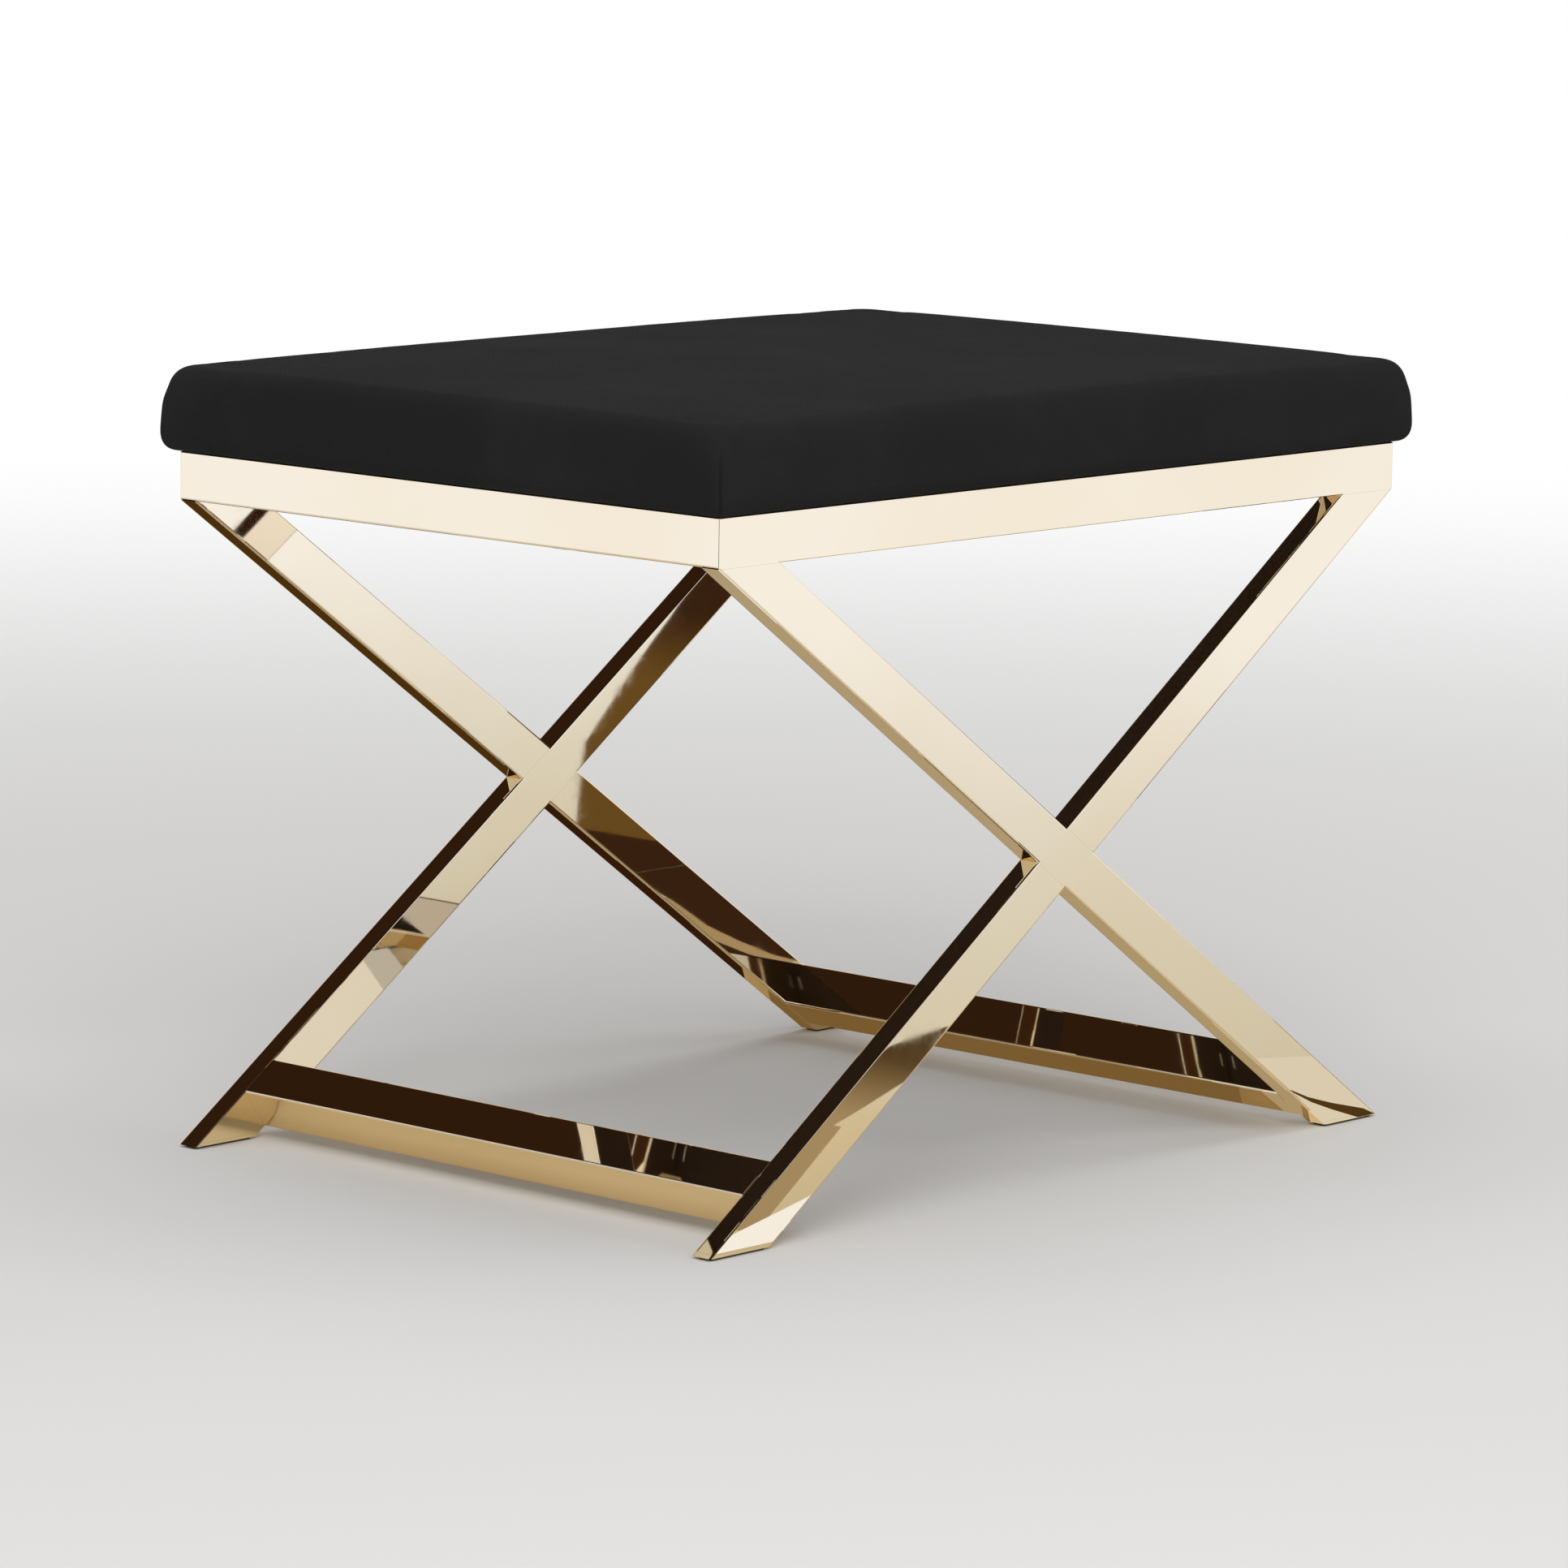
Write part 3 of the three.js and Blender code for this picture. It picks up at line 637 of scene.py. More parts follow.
def cushion_ring(offset, height):
    """One loop round the cushion: x, y, outward normal x, y, distance from a corner's middle."""
    cushion = bpy.context.scene.stool_cushion
    blend = min(max(height / (CUSHION_TOTAL - cushion.crown), 0.0), 1.0)
    radius = cushion.corner_bottom + (cushion.corner_top - cushion.corner_bottom) * blend
    x = HALF_WIDTH + offset - radius
    y = HALF_DEPTH + offset - radius
    centres = [(x, -y), (x, y), (-x, y), (-x, -y)]
    ring = []
    for corner, (centre_x, centre_y) in enumerate(centres):
        for i in range(CORNER_STEPS + 1):
            turn = (math.pi / 2) * (i / CORNER_STEPS)
            angle = (math.pi / 2) * (corner - 1) + turn
            normal = (math.cos(angle), math.sin(angle))
            away = radius * (turn - math.pi / 4)
            place = (centre_x + radius * normal[0], centre_y + radius * normal[1])
            ring.append((*place, *normal, away))
        next_x, next_y = centres[(corner + 1) % len(centres)]
        length = math.dist((centre_x, centre_y), (next_x, next_y))
        arc = radius * math.pi / 4
        start = place
        for i in range(1, SIDE_STEPS):
            share = i / SIDE_STEPS
            share -= SIDE_GATHERING * math.sin(2 * math.pi * share) / (2 * math.pi)
            place = (start[0] + (next_x - centre_x) * share, start[1] + (next_y - centre_y) * share)
            away = arc + length * share if share < 0.5 else -arc - length * (1 - share)
            ring.append((*place, *normal, away))
    return ring


def pleat(away, height):
    """How far the folded corner stands out, or in, at a distance along the side and a height."""
    cushion = bpy.context.scene.stool_cushion
    fade = 1 - smoothstep(height, cushion.pleat_height - PLEAT_FADE, cushion.pleat_height)
    crease = -cushion.pleat_depth * math.exp(-((away / PLEAT_WIDTH) ** 2))
    lap = cushion.pleat_lap * math.exp(-away / PLEAT_SPREAD) if away > PLEAT_WIDTH else 0.0
    above = height - (cushion.pleat_height - DIMPLE_DROP)
    dimple = -DIMPLE_DEPTH * math.exp(-((away / DIMPLE_SIZE) ** 2 + (above / DIMPLE_SIZE) ** 2))
    return fade * (crease + lap) + dimple


def softness(x, y, z):
    """Slow unevenness of padding under cloth."""
    lump = noise.noise(Vector((x, y, z)) * LUMPS_PER_METRE)
    ripple = noise.noise(Vector((x, y, z)) * RIPPLES_PER_METRE + RIPPLE_SHIFT)
    return LUMP_HEIGHT * lump + RIPPLE_HEIGHT * ripple


def plain_ring(offset, height, level):
    """The loop round the cushion that belongs to a height, drawn at a level above the rail."""
    return [Vector((x, y, RAIL_TOP + level)) for x, y, *_ in cushion_ring(offset, height)]


def plain_crown(offset, level, crown_share):
    """Loops over the crowned top from its edge inwards, without pleats or unevenness."""
    cushion = bpy.context.scene.stool_cushion
    edge = cushion_ring(offset, CUSHION_TOTAL - cushion.crown)
    rings = []
    for i in range(1, CROWN_STEPS):
        ring = []
        for point in edge:
            x, y = (across * (1 - i / CROWN_STEPS) for across in point[:2])
            ring.append(Vector((x, y, RAIL_TOP + level + crown_share * crown_height(x, y))))
        rings.append(ring)
    return rings


def cushion_rings(section):
    """Loops of points up the side, pleated at the corners, with the unevenness of real padding."""
    rings = []
    for offset, height in section:
        level = smoothstep(height, EVEN_BELOW, UNEVEN_ABOVE)
        ring = []
        for x, y, normal_x, normal_y, away in cushion_ring(offset, height):
            out = pleat(away, height) + level * softness(x, y, height)
            ring.append(Vector((x + out * normal_x, y + out * normal_y, RAIL_TOP + height)))
        rings.append(ring)
    return rings


def crown_rings(offset, height, edge):
    """Loops of points over the crowned top, from its edge inwards."""
    rings = []
    for i in range(1, CROWN_STEPS):
        share = 1 - (i / CROWN_STEPS) ** CROWN_CROWDING
        ring = []
        for point, rim in zip(cushion_ring(offset, height), edge):
            x, y = point[0] * share, point[1] * share
            fade = smoothstep(1 - share, 0.0, CROWN_EDGE)
            rise = crown_height(x, y) + fade * softness(x, y, height)
            ring.append(Vector((x, y, rim.z * (1 - fade) + (RAIL_TOP + height) * fade + rise)))
        rings.append(ring)
    return rings


def skin(rings, close_bottom):
    """A mesh through the loops with its top closed at the middle, and its bottom if asked."""
    work = bmesh.new()
    loops = [[work.verts.new(point) for point in ring] for ring in rings]
    band(work, loops)
    ends = [(loops[-1], 1)]
    if close_bottom:
        ends.append((loops[0], -1))
    for loop, side in ends:
        middle = work.verts.new(sum((vert.co for vert in loop), Vector()) / len(loop))
        for j, vert in enumerate(loop):
            corners = (vert, loop[(j + 1) % len(loop)], middle)
            work.faces.new(corners[::side])
    return made_mesh("cushion", work)


def cover_mesh():
    """Outside of the cover, from the hem under the board, round the side and over the top."""
    cushion = bpy.context.scene.stool_cushion
    side = cushion_side()
    hem = [(-cushion.hem, HEM_LOW), (-DUST_INSET, HEM_LOW), (HEM_STEP - DUST_INSET, CUSHION_LIFT)]
    rings = [plain_ring(offset, height, height) for offset, height in hem] + cushion_rings(side)
    return skin(rings + crown_rings(*side[-1], rings[-1]), close_bottom=False)


def foam_mesh():
    """Foam under the cover: the same form, smaller by the cloth and a gap, flat on the board."""
    cushion = bpy.context.scene.stool_cushion
    inset = cushion.thickness + FOAM_GAP
    base = BOARD_TOP - RAIL_TOP + CUSHION_LIFT
    top = CUSHION_TOTAL - cushion.crown - inset
    section = [(offset - inset, height) for offset, height in cushion_side() if height > base]
    section = [(section[0][0], base)] + section
    rings = [plain_ring(offset, height, min(height, top)) for offset, height in section]
    return skin(rings + plain_crown(section[-1][0], top, FOAM_CROWN_SHARE), close_bottom=True)


def stuffing_body():
    """A closed body with the cushion's plain form on an even grid, for the simulation."""
    side = cushion_side()
    rings = [plain_ring(offset, height, height) for offset, height in side]
    rings += plain_crown(*side[-1], 1.0)
    body = placed("stuffing_body", skin(rings, close_bottom=True))
    grid = body.modifiers.new("grid", "REMESH")
    grid.mode = "VOXEL"
    grid.voxel_size = STUFFING_GRID
    apply_modifiers(body)
    return body


def hold_edges(body):
    """Holds the body where the cover is stapled, and partly along its four corner pleats."""
    group = body.vertex_groups.new(name="held")
    for vertex in body.data.vertices:
        x, y, z = vertex.co
        height = z - RAIL_TOP
        stapled = 1 - smoothstep(height, HELD_BELOW, FREE_ABOVE)
        from_corner = math.hypot(HALF_WIDTH - abs(x), HALF_DEPTH - abs(y))
        corner = CORNER_HOLD * (1 - smoothstep(from_corner, CORNER_HELD, CORNER_FREE))
        group.add([vertex.index], max(stapled, corner), "REPLACE")
    return group.name


def stuffed_moves():
    """How stuffing moves the cover, by cloth simulation: a tree of places, the move at each."""
    scene = bpy.context.scene
    limit = scene.stool_cushion.swell_limit
    body = stuffing_body()
    cloth = body.modifiers.new("stuffing", "CLOTH")
    settings = cloth.settings
    settings.vertex_group_mass = hold_edges(body)
    for name, value in STUFFING_CLOTH.items():
        setattr(settings, name, value)
    settings.uniform_pressure_force = scene.stool_cushion.pressure
    settings.effector_weights.gravity = 0.0
    cloth.point_cache.frame_start = 1
    cloth.point_cache.frame_end = STUFFING_FRAMES
    for frame_number in range(1, STUFFING_FRAMES + 1):
        scene.frame_set(frame_number)
    graph = bpy.context.evaluated_depsgraph_get()
    made = body.evaluated_get(graph).to_mesh()
    tree = kdtree.KDTree(len(body.data.vertices))
    moves = []
    for before, after in zip(body.data.vertices, made.vertices):
        move = after.co - before.co
        if move.length > 0:
            move *= limit * math.tanh(move.length / limit) / move.length
        tree.insert(before.co, before.index)
        moves.append(move)
    tree.balance()
    body.evaluated_get(graph).to_mesh_clear()
    scene.frame_set(1)
    bpy.data.objects.remove(body)
    return tree, moves


def stuff(mesh):
    """Moves a mesh as the simulated stuffing moves the cover round it."""
    tree, moves = stuffed_moves()
    for vertex in mesh.vertices:
        near = tree.find_n(vertex.co, STUFFING_NEIGHBOURS)
        weights = [1 / (distance * distance + MM * MM) for _, _, distance in near]
        total = sum(weights)
        for (_, index, _), weight in zip(near, weights):
            vertex.co += moves[index] * (weight / total)


def bore_for_screws(piece):
    """Opens the hem round the four seat screws."""
    for name in nodes_with("seat_screw"):
        low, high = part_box(name)
        middle = (low + high) / 2
        work = bmesh.new()
        place = Matrix.Translation((middle.x, middle.y, RAIL_TOP))
        bmesh.ops.create_cone(
            work, cap_ends=True, segments=24, radius1=BORE_RADIUS, radius2=BORE_RADIUS,
            depth=BORE_DEPTH, matrix=place)
        tool = placed("bore", made_mesh("bore", work, smooth=False))
        cut = piece.modifiers.new("bore", "BOOLEAN")
        cut.object = tool
        cut.operation = "DIFFERENCE"
        cut.solver = "EXACT"
        apply_modifiers(piece)
        bpy.data.objects.remove(tool)


# Staples and welds

STAPLE_SHOULDER = 1.1 * MM
SHOULDER_STEPS = 4
STAPLE_SUNK_SHARE = 0.4
STAPLE_LEG_SHARE = 1.4
STRAY_ALONG = 1.5 * MM
STRAY_ACROSS = 0.7 * MM
STRAY_TURN = 0.06
STAPLE_SEED = 7
WIRE_SIDES = 8

BEAD_ARC_STEPS = 6
BEAD_RIPPLE_STEPS = 6
BEAD_END_SHARE = 0.35
BEAD_RIPPLE_SHARE = 0.14
BEAD_HOLLOW_SHARE = 0.80
BEAD_BELLY_SHARE = 0.10
BEAD_MARGIN = 4 * MM


def staple_points(width, leg):
    """Centre line of a staple, in its own plane: short legs and a crown with rounded shoulders."""
    points = [(-width / 2, leg)]
    for i in range(SHOULDER_STEPS + 1):
        angle = math.pi + (math.pi / 2) * i / SHOULDER_STEPS
        across = STAPLE_SHOULDER * (1 + math.cos(angle)) - width / 2
        points.append((across, STAPLE_SHOULDER * (1 + math.sin(angle))))
    return points + [(-across, up) for across, up in reversed(points)]


def tube_along(work, points, across, radius):
    """Adds a round wire along points; across is a unit vector square to its plane."""
    loops = []
    for i, point in enumerate(points):
        ahead = points[min(i + 1, len(points) - 1)] - points[max(i - 1, 0)]
        inward = ahead.normalized().cross(across)
        loop = []
        for j in range(WIRE_SIDES):
            angle = 2 * math.pi * j / WIRE_SIDES
            out = math.cos(angle) * across + math.sin(angle) * inward
            loop.append(work.verts.new(point + radius * out))
        loops.append(loop)
    rod(work, loops)


def staple_rows():
    """Place and direction of each staple, in four rows just inside the rails."""
    hardware = bpy.context.scene.stool_hardware
    chance = random.Random(STAPLE_SEED)
    inner_x = HALF_WIDTH - RAIL_THICKNESS - hardware.staple_inset
    inner_y = HALF_DEPTH - RAIL_THICKNESS - hardware.staple_inset
    clear = GUSSET_HIGH.x - GUSSET_LOW.x + hardware.staple_width
    places = []
    directions = (Vector((1, 0, 0)), inner_x, inner_y), (Vector((0, 1, 0)), inner_y, inner_x)
    for along, half, level in directions:
        square = Vector((along.y, along.x, 0))
        run = 2 * (half - clear)
        count = round(run / hardware.staple_pitch)
        for side in (-1, 1):
            for i in range(count + 1):
                step = -half + clear + run * i / count + chance.uniform(-STRAY_ALONG, STRAY_ALONG)
                shift = side * level + chance.uniform(-STRAY_ACROSS, STRAY_ACROSS)
                turned = Matrix.Rotation(chance.uniform(-STRAY_TURN, STRAY_TURN), 3, "Z") @ along
                places.append((along * step + square * shift, turned))
    return places


def staples_mesh():
    """All staples of the dust cover."""
    hardware = bpy.context.scene.stool_hardware
    wire = hardware.staple_wire
    level = DUST_LOW.z - STAPLE_SUNK_SHARE * wire
    line = staple_points(hardware.staple_width, STAPLE_LEG_SHARE * wire)
    work = bmesh.new()
    for middle, along in staple_rows():
        square = Vector((-along.y, along.x, 0))
        points = [middle + along * across + Vector((0, 0, level + up)) for across, up in line]
        tube_along(work, points, square, wire / 2)
    return made_mesh("seat_staples", work)


def weld_bead(work, start, end, side, down):
    """A rippled fillet along a line between two faces; side and down point out of the corner."""
    hardware = bpy.context.scene.stool_hardware
    length = (end - start).length
    steps = round(length / hardware.bead_step) * BEAD_RIPPLE_STEPS
    loops = []
    for i in range(steps + 1):
        share = i / steps
        ripple = abs(math.sin(math.pi * share * length / hardware.bead_step))
        from_end = min(share, 1 - share) * length / (1.5 * hardware.bead_size)
        size = hardware.bead_size * min(1.0, from_end + BEAD_END_SHARE)
        size *= 1 - BEAD_RIPPLE_SHARE * (1 - ripple ** 0.6)
        centre = start.lerp(end, share)
        loop = [work.verts.new(centre)]
        for j in range(BEAD_ARC_STEPS + 1):
            angle = (math.pi / 2) * j / BEAD_ARC_STEPS
            belly = BEAD_HOLLOW_SHARE + BEAD_BELLY_SHARE * math.sin(2 * angle)
            reach = size if j in (0, BEAD_ARC_STEPS) else size * belly
            out = math.cos(angle) * side + math.sin(angle) * down
            loop.append(work.verts.new(centre + reach * out))
        loops.append(loop)
    rod(work, loops)


def weld_mesh():
    """Two beads under each corner gusset, where it meets the rails."""
    work = bmesh.new()
    down = Vector((0, 0, -1))
    inner_x = HALF_WIDTH - RAIL_THICKNESS
    inner_y = HALF_DEPTH - RAIL_THICKNESS
    near = BEAD_MARGIN
    far = GUSSET_HIGH.x - GUSSET_LOW.x - BEAD_MARGIN
    for across in (-1, 1):
        for along in (-1, 1):
            corner = Vector((across * inner_x, along * inner_y, GUSSET_LOW.z))
            in_x = Vector((-across, 0, 0))
            in_y = Vector((0, -along, 0))
            weld_bead(work, corner + in_y * near, corner + in_y * far, in_x, down)
            weld_bead(work, corner + in_x * near, corner + in_x * far, in_y, down)
    bmesh.ops.recalc_face_normals(work, faces=work.faces)
    return made_mesh("gusset_welds", work)


# Studio

WHITE = 1.0, 1.0, 1.0
SENSOR_WIDTH = 36.0
VIEW_LIMIT = 100.0
LAMP_AIM = Vector((0.0, 0.0, 0.25))
LAMPS = {
    "top": ((0.0, 0.1, 2.6), 2.2),
    "key": ((-2.2, -2.6, 3.0), 2.4),
    "fill": ((2.8, -1.6, 2.2), 2.0),
}
FLOOR_RADIUS = 60.0
SEEN_FADE = 0.4, 4.0
MIRRORED_FADE = 0.5, 2.9
NEAR_FADE = 0.42, 0.58
ABOVE_FADE = 0.22, 0.45
BEHIND_FADE = -0.3, 0.1
RIGHT_FADE = -0.35, -0.1
RIGHT_SHARES = 0.45, 1.0

# Tones, heights and outlines of glowing patches that only the polished metal sees: painted
# reflections
DARK_SHARE = 1.4
BROWN_SHARE = 0.58
SHADE_SHARE = 0.6
CREAM_SHARE = 0.66
DEEP_TAN_SHARE = 0.5
TAN_FADE = 0.02, 0.26
UPRIGHT_REFLECTION_FADE = 0.12, 0.19
REFLECTION_LIFT = 1 * MM
REFLECTION_STEP = 0.05 * MM
UPRIGHT_REFLECTION_X = 0.75
UPRIGHT_REFLECTION = [(-0.50, 0.0), (-0.25, 0.0), (-0.25, 0.30), (-0.30, 0.30), (-0.49, 0.07)]
PAINTED_REFLECTIONS = [
    ("right", "dark", [
        (0.442, 0.024), (0.447, -0.004), (0.469, -0.058), (0.50, -0.12), (0.562, -0.215),
        (0.62, -0.315), (0.78, -0.315), (0.78, 0.14), (0.43, 0.14)]),
    ("corner", "dark", [(0.60, -0.315), (0.70, -0.50), (0.78, -0.50), (0.78, -0.315)]),
    ("behind", "dark", [(0.106, 0.27), (0.35, 0.27), (0.35, 0.8), (0.106, 0.8)]),
    ("back", "brown", [(-0.19, 0.575), (0.106, 0.33), (0.106, 0.8), (-0.19, 0.8)]),
    ("rail", "dark", [(-0.32, 0.575), (-0.19, 0.575), (-0.19, 0.63), (-0.32, 0.63)]),
    ("rim", "dark", [
        (0.40, 0.03), (0.40, -0.16), (0.51, -0.16),
        (0.458, -0.072), (0.436, -0.018), (0.425, 0.03)]),
    ("edge", "warm", [
        (0.425, 0.03), (0.436, -0.018), (0.458, -0.072), (0.51, -0.16), (0.545, -0.235),
        (0.57, -0.235), (0.562, -0.215), (0.50, -0.12), (0.469, -0.058),
        (0.447, -0.004), (0.442, 0.024)]),
    ("rail_front", "dark", [(-0.31, -0.69), (-0.24, -0.69), (-0.24, -0.62), (-0.31, -0.62)]),
    ("front", "warm", [
        (-0.24, -0.27), (-0.24, -0.30), (0.03, -0.47), (0.03, -0.435), (-0.21, -0.277)]),
    ("under", "shade", [(0.228, -0.16), (0.275, -0.16), (0.275, 0.25), (0.228, 0.25)]),
    ("inner", "cream", [
        (0.235, -0.21), (0.265, -0.21), (0.115, -0.005),
        (-0.07, 0.22), (-0.105, 0.22), (0.10, -0.03)]),
    ("pale", "pale", [
        (-0.222, 0.14), (0.10, -0.12), (0.215, -0.215),
        (0.235, -0.21), (0.10, -0.03), (-0.145, 0.14)]),
    ("white", "white", [(-0.31, -0.235), (-0.25, -0.265), (-0.125, -0.312), (-0.22, -0.235)]),
    ("tan", "tan", [
        (-0.06, -0.40), (0.19, -0.56), (0.25, -0.592), (0.335, -0.615), (0.192, -0.515)]),
    ("toe", "pale", [
        (0.24, -0.215), (0.255, -0.25), (0.38, -0.41), (0.44, -0.37), (0.33, -0.215)]),
    ("foot", "brown", [
        (0.331, -0.315), (0.320, -0.291), (0.316, -0.268), (0.317, -0.243), (0.305, -0.220),
        (0.289, -0.214), (0.292, -0.229), (0.299, -0.254), (0.308, -0.278), (0.325, -0.308)]),
]


class STOOL_OT_stage(bpy.types.Operator):
    """Sets the camera, the plain floor, the surroundings, glowing patches that paint reflections
    into the polished metal, and three soft lamps
    """
    bl_idname = "stool.stage"
    bl_label = "Stage"

    def execute(self, context):
        studio = context.scene.stool_studio
        self.camera(context, studio)
        self.floor(studio)
        self.surroundings(context, studio)
        self.paint_reflections(studio)
        for name, (place, size) in LAMPS.items():
            self.lamp(name + "_lamp", place, size, getattr(studio, name + "_power"))
        context.scene.view_settings.view_transform = "Standard"
        return {"FINISHED"}

    def camera(self, context, studio):
        data = bpy.data.cameras.new("camera")
        data.sensor_width = SENSOR_WIDTH
        data.lens = studio.lens
        data.clip_end = VIEW_LIMIT
        camera = placed("camera", data)
        turn = Matrix.Rotation(-studio.heading, 4, "Z")
        turn = turn @ Matrix.Rotation(math.pi / 2 - studio.tilt, 4, "X")
        turn = turn @ Matrix.Rotation(studio.roll, 4, "Z")
        camera.matrix_world = Matrix.Translation(studio.camera_place) @ turn
        context.scene.camera = camera

    def floor(self, studio):
        """A wide plain floor that keeps the stool's shadow and fades to white away from it; in the
        polished metal alone it shows warmer tones, tan near the stool, as a painted reflection.
        """
        work = bmesh.new()
        bmesh.ops.create_circle(work, cap_ends=True, segments=96, radius=FLOOR_RADIUS)
        mesh = made_mesh("studio_floor", work, smooth=False)
        floor = placed("studio_floor", mesh)
        material, shader = new_material("studio_floor")
        place = shader.place()
        away = shader.add("VectorMath", {0: place}, operation="LENGTH").outputs["Value"]
        rays = shader.add("LightPath").outputs
        seen = shader.math("MAXIMUM", rays["Is Camera Ray"], rays["Is Transmission Ray"])
        far_seen = shader.math("MULTIPLY", shader.spread(away, *SEEN_FADE), seen)
        far_mirrored = shader.math(
            "MULTIPLY", shader.spread(away, *MIRRORED_FADE), rays["Is Glossy Ray"])
        far = shader.math("MAXIMUM", far_seen, far_mirrored)
        # Only reflections see these warm and tan floor tones: painted reflection
        leaving = shader.spread(away, *NEAR_FADE)
        mirrored = shader.mix(leaving, studio.mirrored_near_colour, studio.mirrored_floor_colour)
        colour = shader.mix(rays["Is Glossy Ray"], studio.floor_colour, mirrored)
        matte = shader.add("BsdfDiffuse", {"Color": colour}).outputs[0]
        shader.output(shader.add("MixShader", {0: far, 1: matte, 2: shader.glow(WHITE)}).outputs[0])
        mesh.materials.append(material)

    def paint_reflections(self, studio):
        """Glowing patches, one upright beside the stool and the rest flat on the floor, which only
        its polished metal sees: painted reflections.
        """
        dark = toned(studio.overhead_colour, DARK_SHARE)
        tones = {
            "dark": dark,
            "brown": toned(studio.upright_reflection_colour, BROWN_SHARE),
            "warm": studio.warm_reflection_colour,
            "shade": toned(studio.warm_reflection_colour, SHADE_SHARE),
            "cream": toned(studio.pale_reflection_colour, CREAM_SHARE),
            "pale": studio.pale_reflection_colour,
            "white": WHITE,
        }
        finishes = {name: self.plain("studio_" + name, tone) for name, tone in tones.items()}
        deep_tan = toned(studio.tan_reflection_colour, DEEP_TAN_SHARE)
        finishes["tan"] = self.fading("studio_tan", "X", TAN_FADE, studio.warm_reflection_colour, deep_tan)
        for i, (name, finish, outline) in enumerate(PAINTED_REFLECTIONS):
            level = REFLECTION_LIFT + i * REFLECTION_STEP
            corners = [(x, y, level) for x, y in outline]
            self.card("studio_mat_" + name, corners, finishes[finish])
        upright_reflection_glow = self.fading("studio_flag", "Z", UPRIGHT_REFLECTION_FADE, studio.upright_reflection_colour, dark)
        self.card("studio_flag_right", [(UPRIGHT_REFLECTION_X, y, z) for y, z in UPRIGHT_REFLECTION], upright_reflection_glow)

    def plain(self, name, tone):
        material, shader = new_material(name)
        shader.output(shader.glow(tone))
        return material

    def fading(self, name, axis, reach, near, far):
        """A glow that goes from one tone to another along an axis."""
        material, shader = new_material(name)
        place = shader.add("NewGeometry").outputs["Position"]
        along = shader.add("SeparateXYZ", {"Vector": place}).outputs[axis]
        shader.output(shader.glow(shader.mix(shader.spread(along, *reach), near, far)))
        return material

    # A glowing patch that only reflections see: painted reflection
    def card(self, name, corners, material):
        mesh = bpy.data.meshes.new(name)
        mesh.from_pydata(corners, [], [tuple(range(len(corners)))])
        mesh.materials.append(material)
        card = placed(name, mesh)
        card.visible_camera = False
        card.visible_diffuse = False
        card.visible_transmission = False
        card.visible_shadow = False

    def surroundings(self, context, studio):
        """White where it is seen, white with a dark overhead where it is mirrored, even elsewhere;
        the dark overhead exists only in reflections, a painted reflection.
        """
        world = bpy.data.worlds.new("studio")
        world.use_nodes = True
        shader = Shader(world.node_tree)
        direction = shader.add("TexCoord").outputs["Generated"]
        axes = shader.add("SeparateXYZ", {"Vector": direction}).outputs
        rays = shader.add("LightPath").outputs
        mirrored = shader.math("MAXIMUM", rays["Is Glossy Ray"], rays["Is Transmission Ray"])
        seen = shader.math("MAXIMUM", mirrored, rays["Is Camera Ray"])
        above = shader.spread(axes["Z"], *ABOVE_FADE)
        behind = shader.spread(axes["Y"], *BEHIND_FADE)
        right = shader.spread(axes["X"], *RIGHT_FADE, *RIGHT_SHARES)
        dark_side = shader.math("MAXIMUM", behind, right)
        # Dark only in reflections: painted reflection
        overhead = shader.math("MULTIPLY", shader.math("MULTIPLY", above, dark_side), mirrored)
        colour = shader.mix(overhead, WHITE, studio.overhead_colour)
        visible = shader.add("Background", {"Color": colour, "Strength": 1.0}).outputs[0]
        even = shader.add("Background", {"Color": WHITE, "Strength": studio.ambient})
        both = shader.add("MixShader", {0: seen, 1: even.outputs[0], 2: visible}).outputs[0]
        shader.add("OutputWorld", {"Surface": both})
        context.scene.world = world

    def lamp(self, name, place, size, power):
        data = bpy.data.lights.new(name, "AREA")
        data.size = size
        data.energy = power
        lamp = placed(name, data)
        lamp.location = place
        aim = LAMP_AIM - Vector(place)
        lamp.rotation_euler = aim.to_track_quat("-Z", "Y").to_euler()
        lamp.visible_glossy = False


# Pieces

class STOOL_OT_frame(bpy.types.Operator):
    """Polishes every tube, foot plate and gusset of the welded frame"""
    bl_idname = "stool.frame"
    bl_label = "Polished frame"

    def execute(self, context):
        dress(polished_gold(), *GOLD_WORDS)
        return {"FINISHED"}


class STOOL_OT_welds(bpy.types.Operator):
    """Lays the weld beads under the corner gussets"""
    bl_idname = "stool.welds"
    bl_label = "Gusset welds"

    def execute(self, context):
        new_piece("gusset_welds", weld_mesh(), bpy.data.materials["polished_gold"])
        return {"FINISHED"}


class STOOL_OT_glides(bpy.types.Operator):
    """Finishes the rubber glides under the feet"""
    bl_idname = "stool.glides"
    bl_label = "Floor glides"

    def execute(self, context):
        dress(glide_rubber(), "glide")
        return {"FINISHED"}


class STOOL_OT_fasteners(bpy.types.Operator):
    """Finishes the seat's screws, washers and T-nuts"""
    bl_idname = "stool.fasteners"
    bl_label = "Fasteners"

    def execute(self, context):
        dress(zinc_plate(), *STEEL_WORDS)
        return {"FINISHED"}


class STOOL_OT_board(bpy.types.Operator):
    """Finishes the plywood board that carries the cushion"""
    bl_idname = "stool.board"
    bl_label = "Seat board"

    def execute(self, context):
        dress(plywood(), "seat_board")
        return {"FINISHED"}


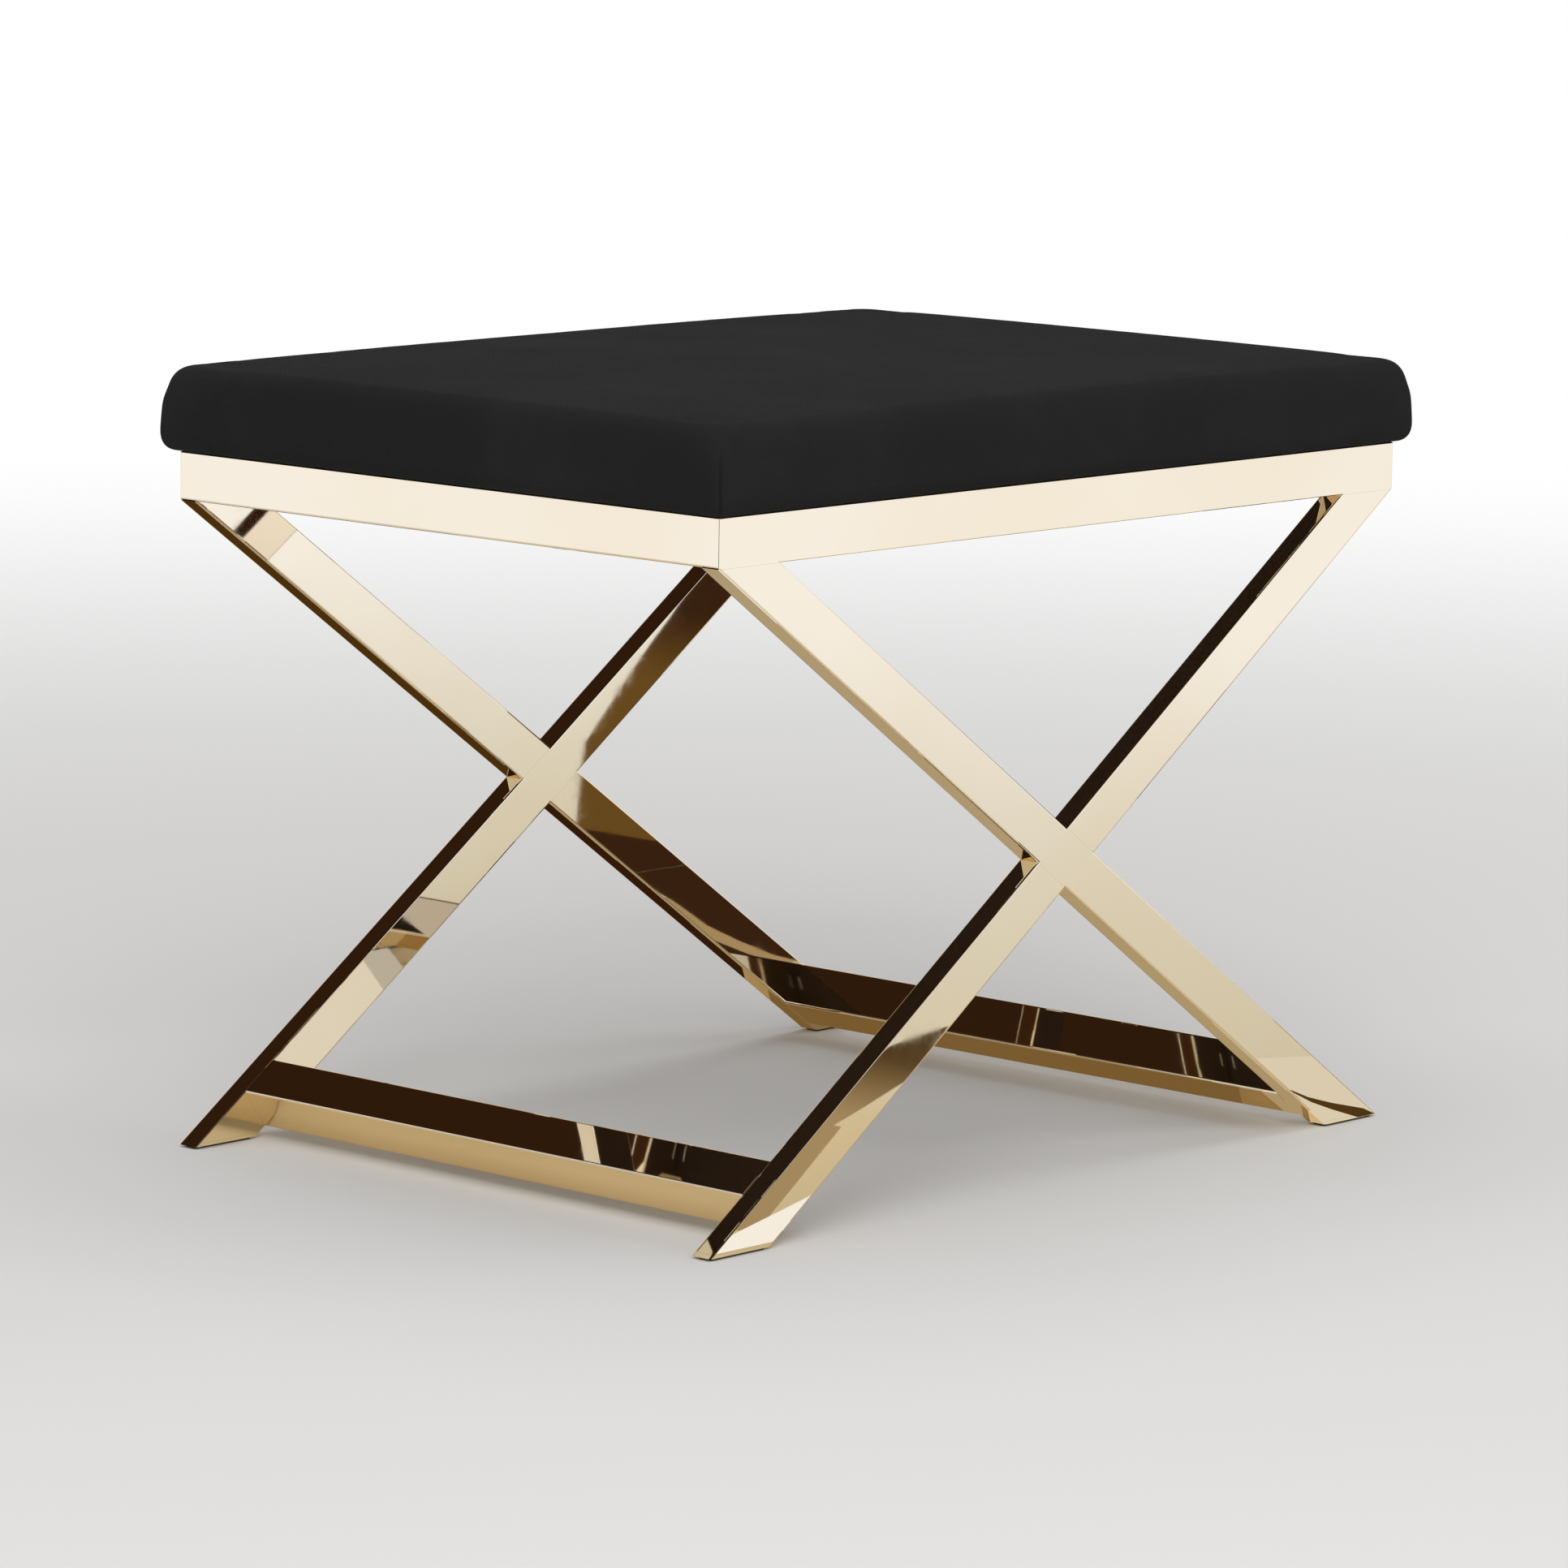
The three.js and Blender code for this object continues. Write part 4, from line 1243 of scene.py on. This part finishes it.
class STOOL_OT_underside(bpy.types.Operator):
    """Finishes the dust cover and staples it under the board"""
    bl_idname = "stool.underside"
    bl_label = "Dust cover and staples"

    def execute(self, context):
        dress(dust_cloth(), "dust_cover")
        new_piece("seat_staples", staples_mesh(), bpy.data.materials["zinc_plate"])
        return {"FINISHED"}


class STOOL_OT_foam(bpy.types.Operator):
    """Shapes the foam pad under the cover"""
    bl_idname = "stool.foam"
    bl_label = "Foam pad"

    def execute(self, context):
        foam = new_piece("cushion_foam", foam_mesh(), foam_finish())
        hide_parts("foam_pad")
        return {"FINISHED"}


class STOOL_OT_cover(bpy.types.Operator):
    """Upholsters the seat: the cover with its pleated corners, stuffed, turned under and bored"""
    bl_idname = "stool.cover"
    bl_label = "Cushion cover"

    def execute(self, context):
        cushion = context.scene.stool_cushion
        cover = new_piece("cushion_cover", cover_mesh(), black_cloth())
        stuff(cover.data)
        thicken = cover.modifiers.new("cloth", "SOLIDIFY")
        thicken.thickness = cushion.thickness
        thicken.offset = -1.0
        apply_modifiers(cover)
        bore_for_screws(cover)
        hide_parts("seat_cover")
        return {"FINISHED"}


STEPS = (
    STOOL_OT_stage, STOOL_OT_frame, STOOL_OT_welds, STOOL_OT_glides, STOOL_OT_fasteners,
    STOOL_OT_board, STOOL_OT_underside, STOOL_OT_foam, STOOL_OT_cover)


class STOOL_PT_panel(bpy.types.Panel):
    """Lists the steps that finish the stool, and their settings"""
    bl_idname = "STOOL_PT_panel"
    bl_label = "X frame stool"
    bl_space_type = "VIEW_3D"
    bl_region_type = "UI"
    bl_category = "Stool"

    def draw(self, context):
        for step in STEPS:
            self.layout.operator(step.bl_idname)
        for group_name in GROUPS:
            group = getattr(context.scene, group_name)
            box = self.layout.box()
            for name in group.__annotations__:
                box.prop(group, name)


GROUPS = {
    "stool_cushion": CushionSettings,
    "stool_metal": MetalSettings,
    "stool_hardware": HardwareSettings,
    "stool_studio": StudioSettings,
}
CLASSES = (*GROUPS.values(), *STEPS, STOOL_PT_panel)


def register():
    for kind in CLASSES:
        bpy.utils.register_class(kind)
    for name, kind in GROUPS.items():
        setattr(bpy.types.Scene, name, PointerProperty(type=kind))


def unregister():
    for name in GROUPS:
        delattr(bpy.types.Scene, name)
    for kind in reversed(CLASSES):
        bpy.utils.unregister_class(kind)


def main():
    register()
    bpy.ops.stool.stage()
    bpy.ops.stool.frame()
    bpy.ops.stool.welds()
    bpy.ops.stool.glides()
    bpy.ops.stool.fasteners()
    bpy.ops.stool.board()
    bpy.ops.stool.underside()
    bpy.ops.stool.foam()
    bpy.ops.stool.cover()


if __name__ == "__main__":
    main()
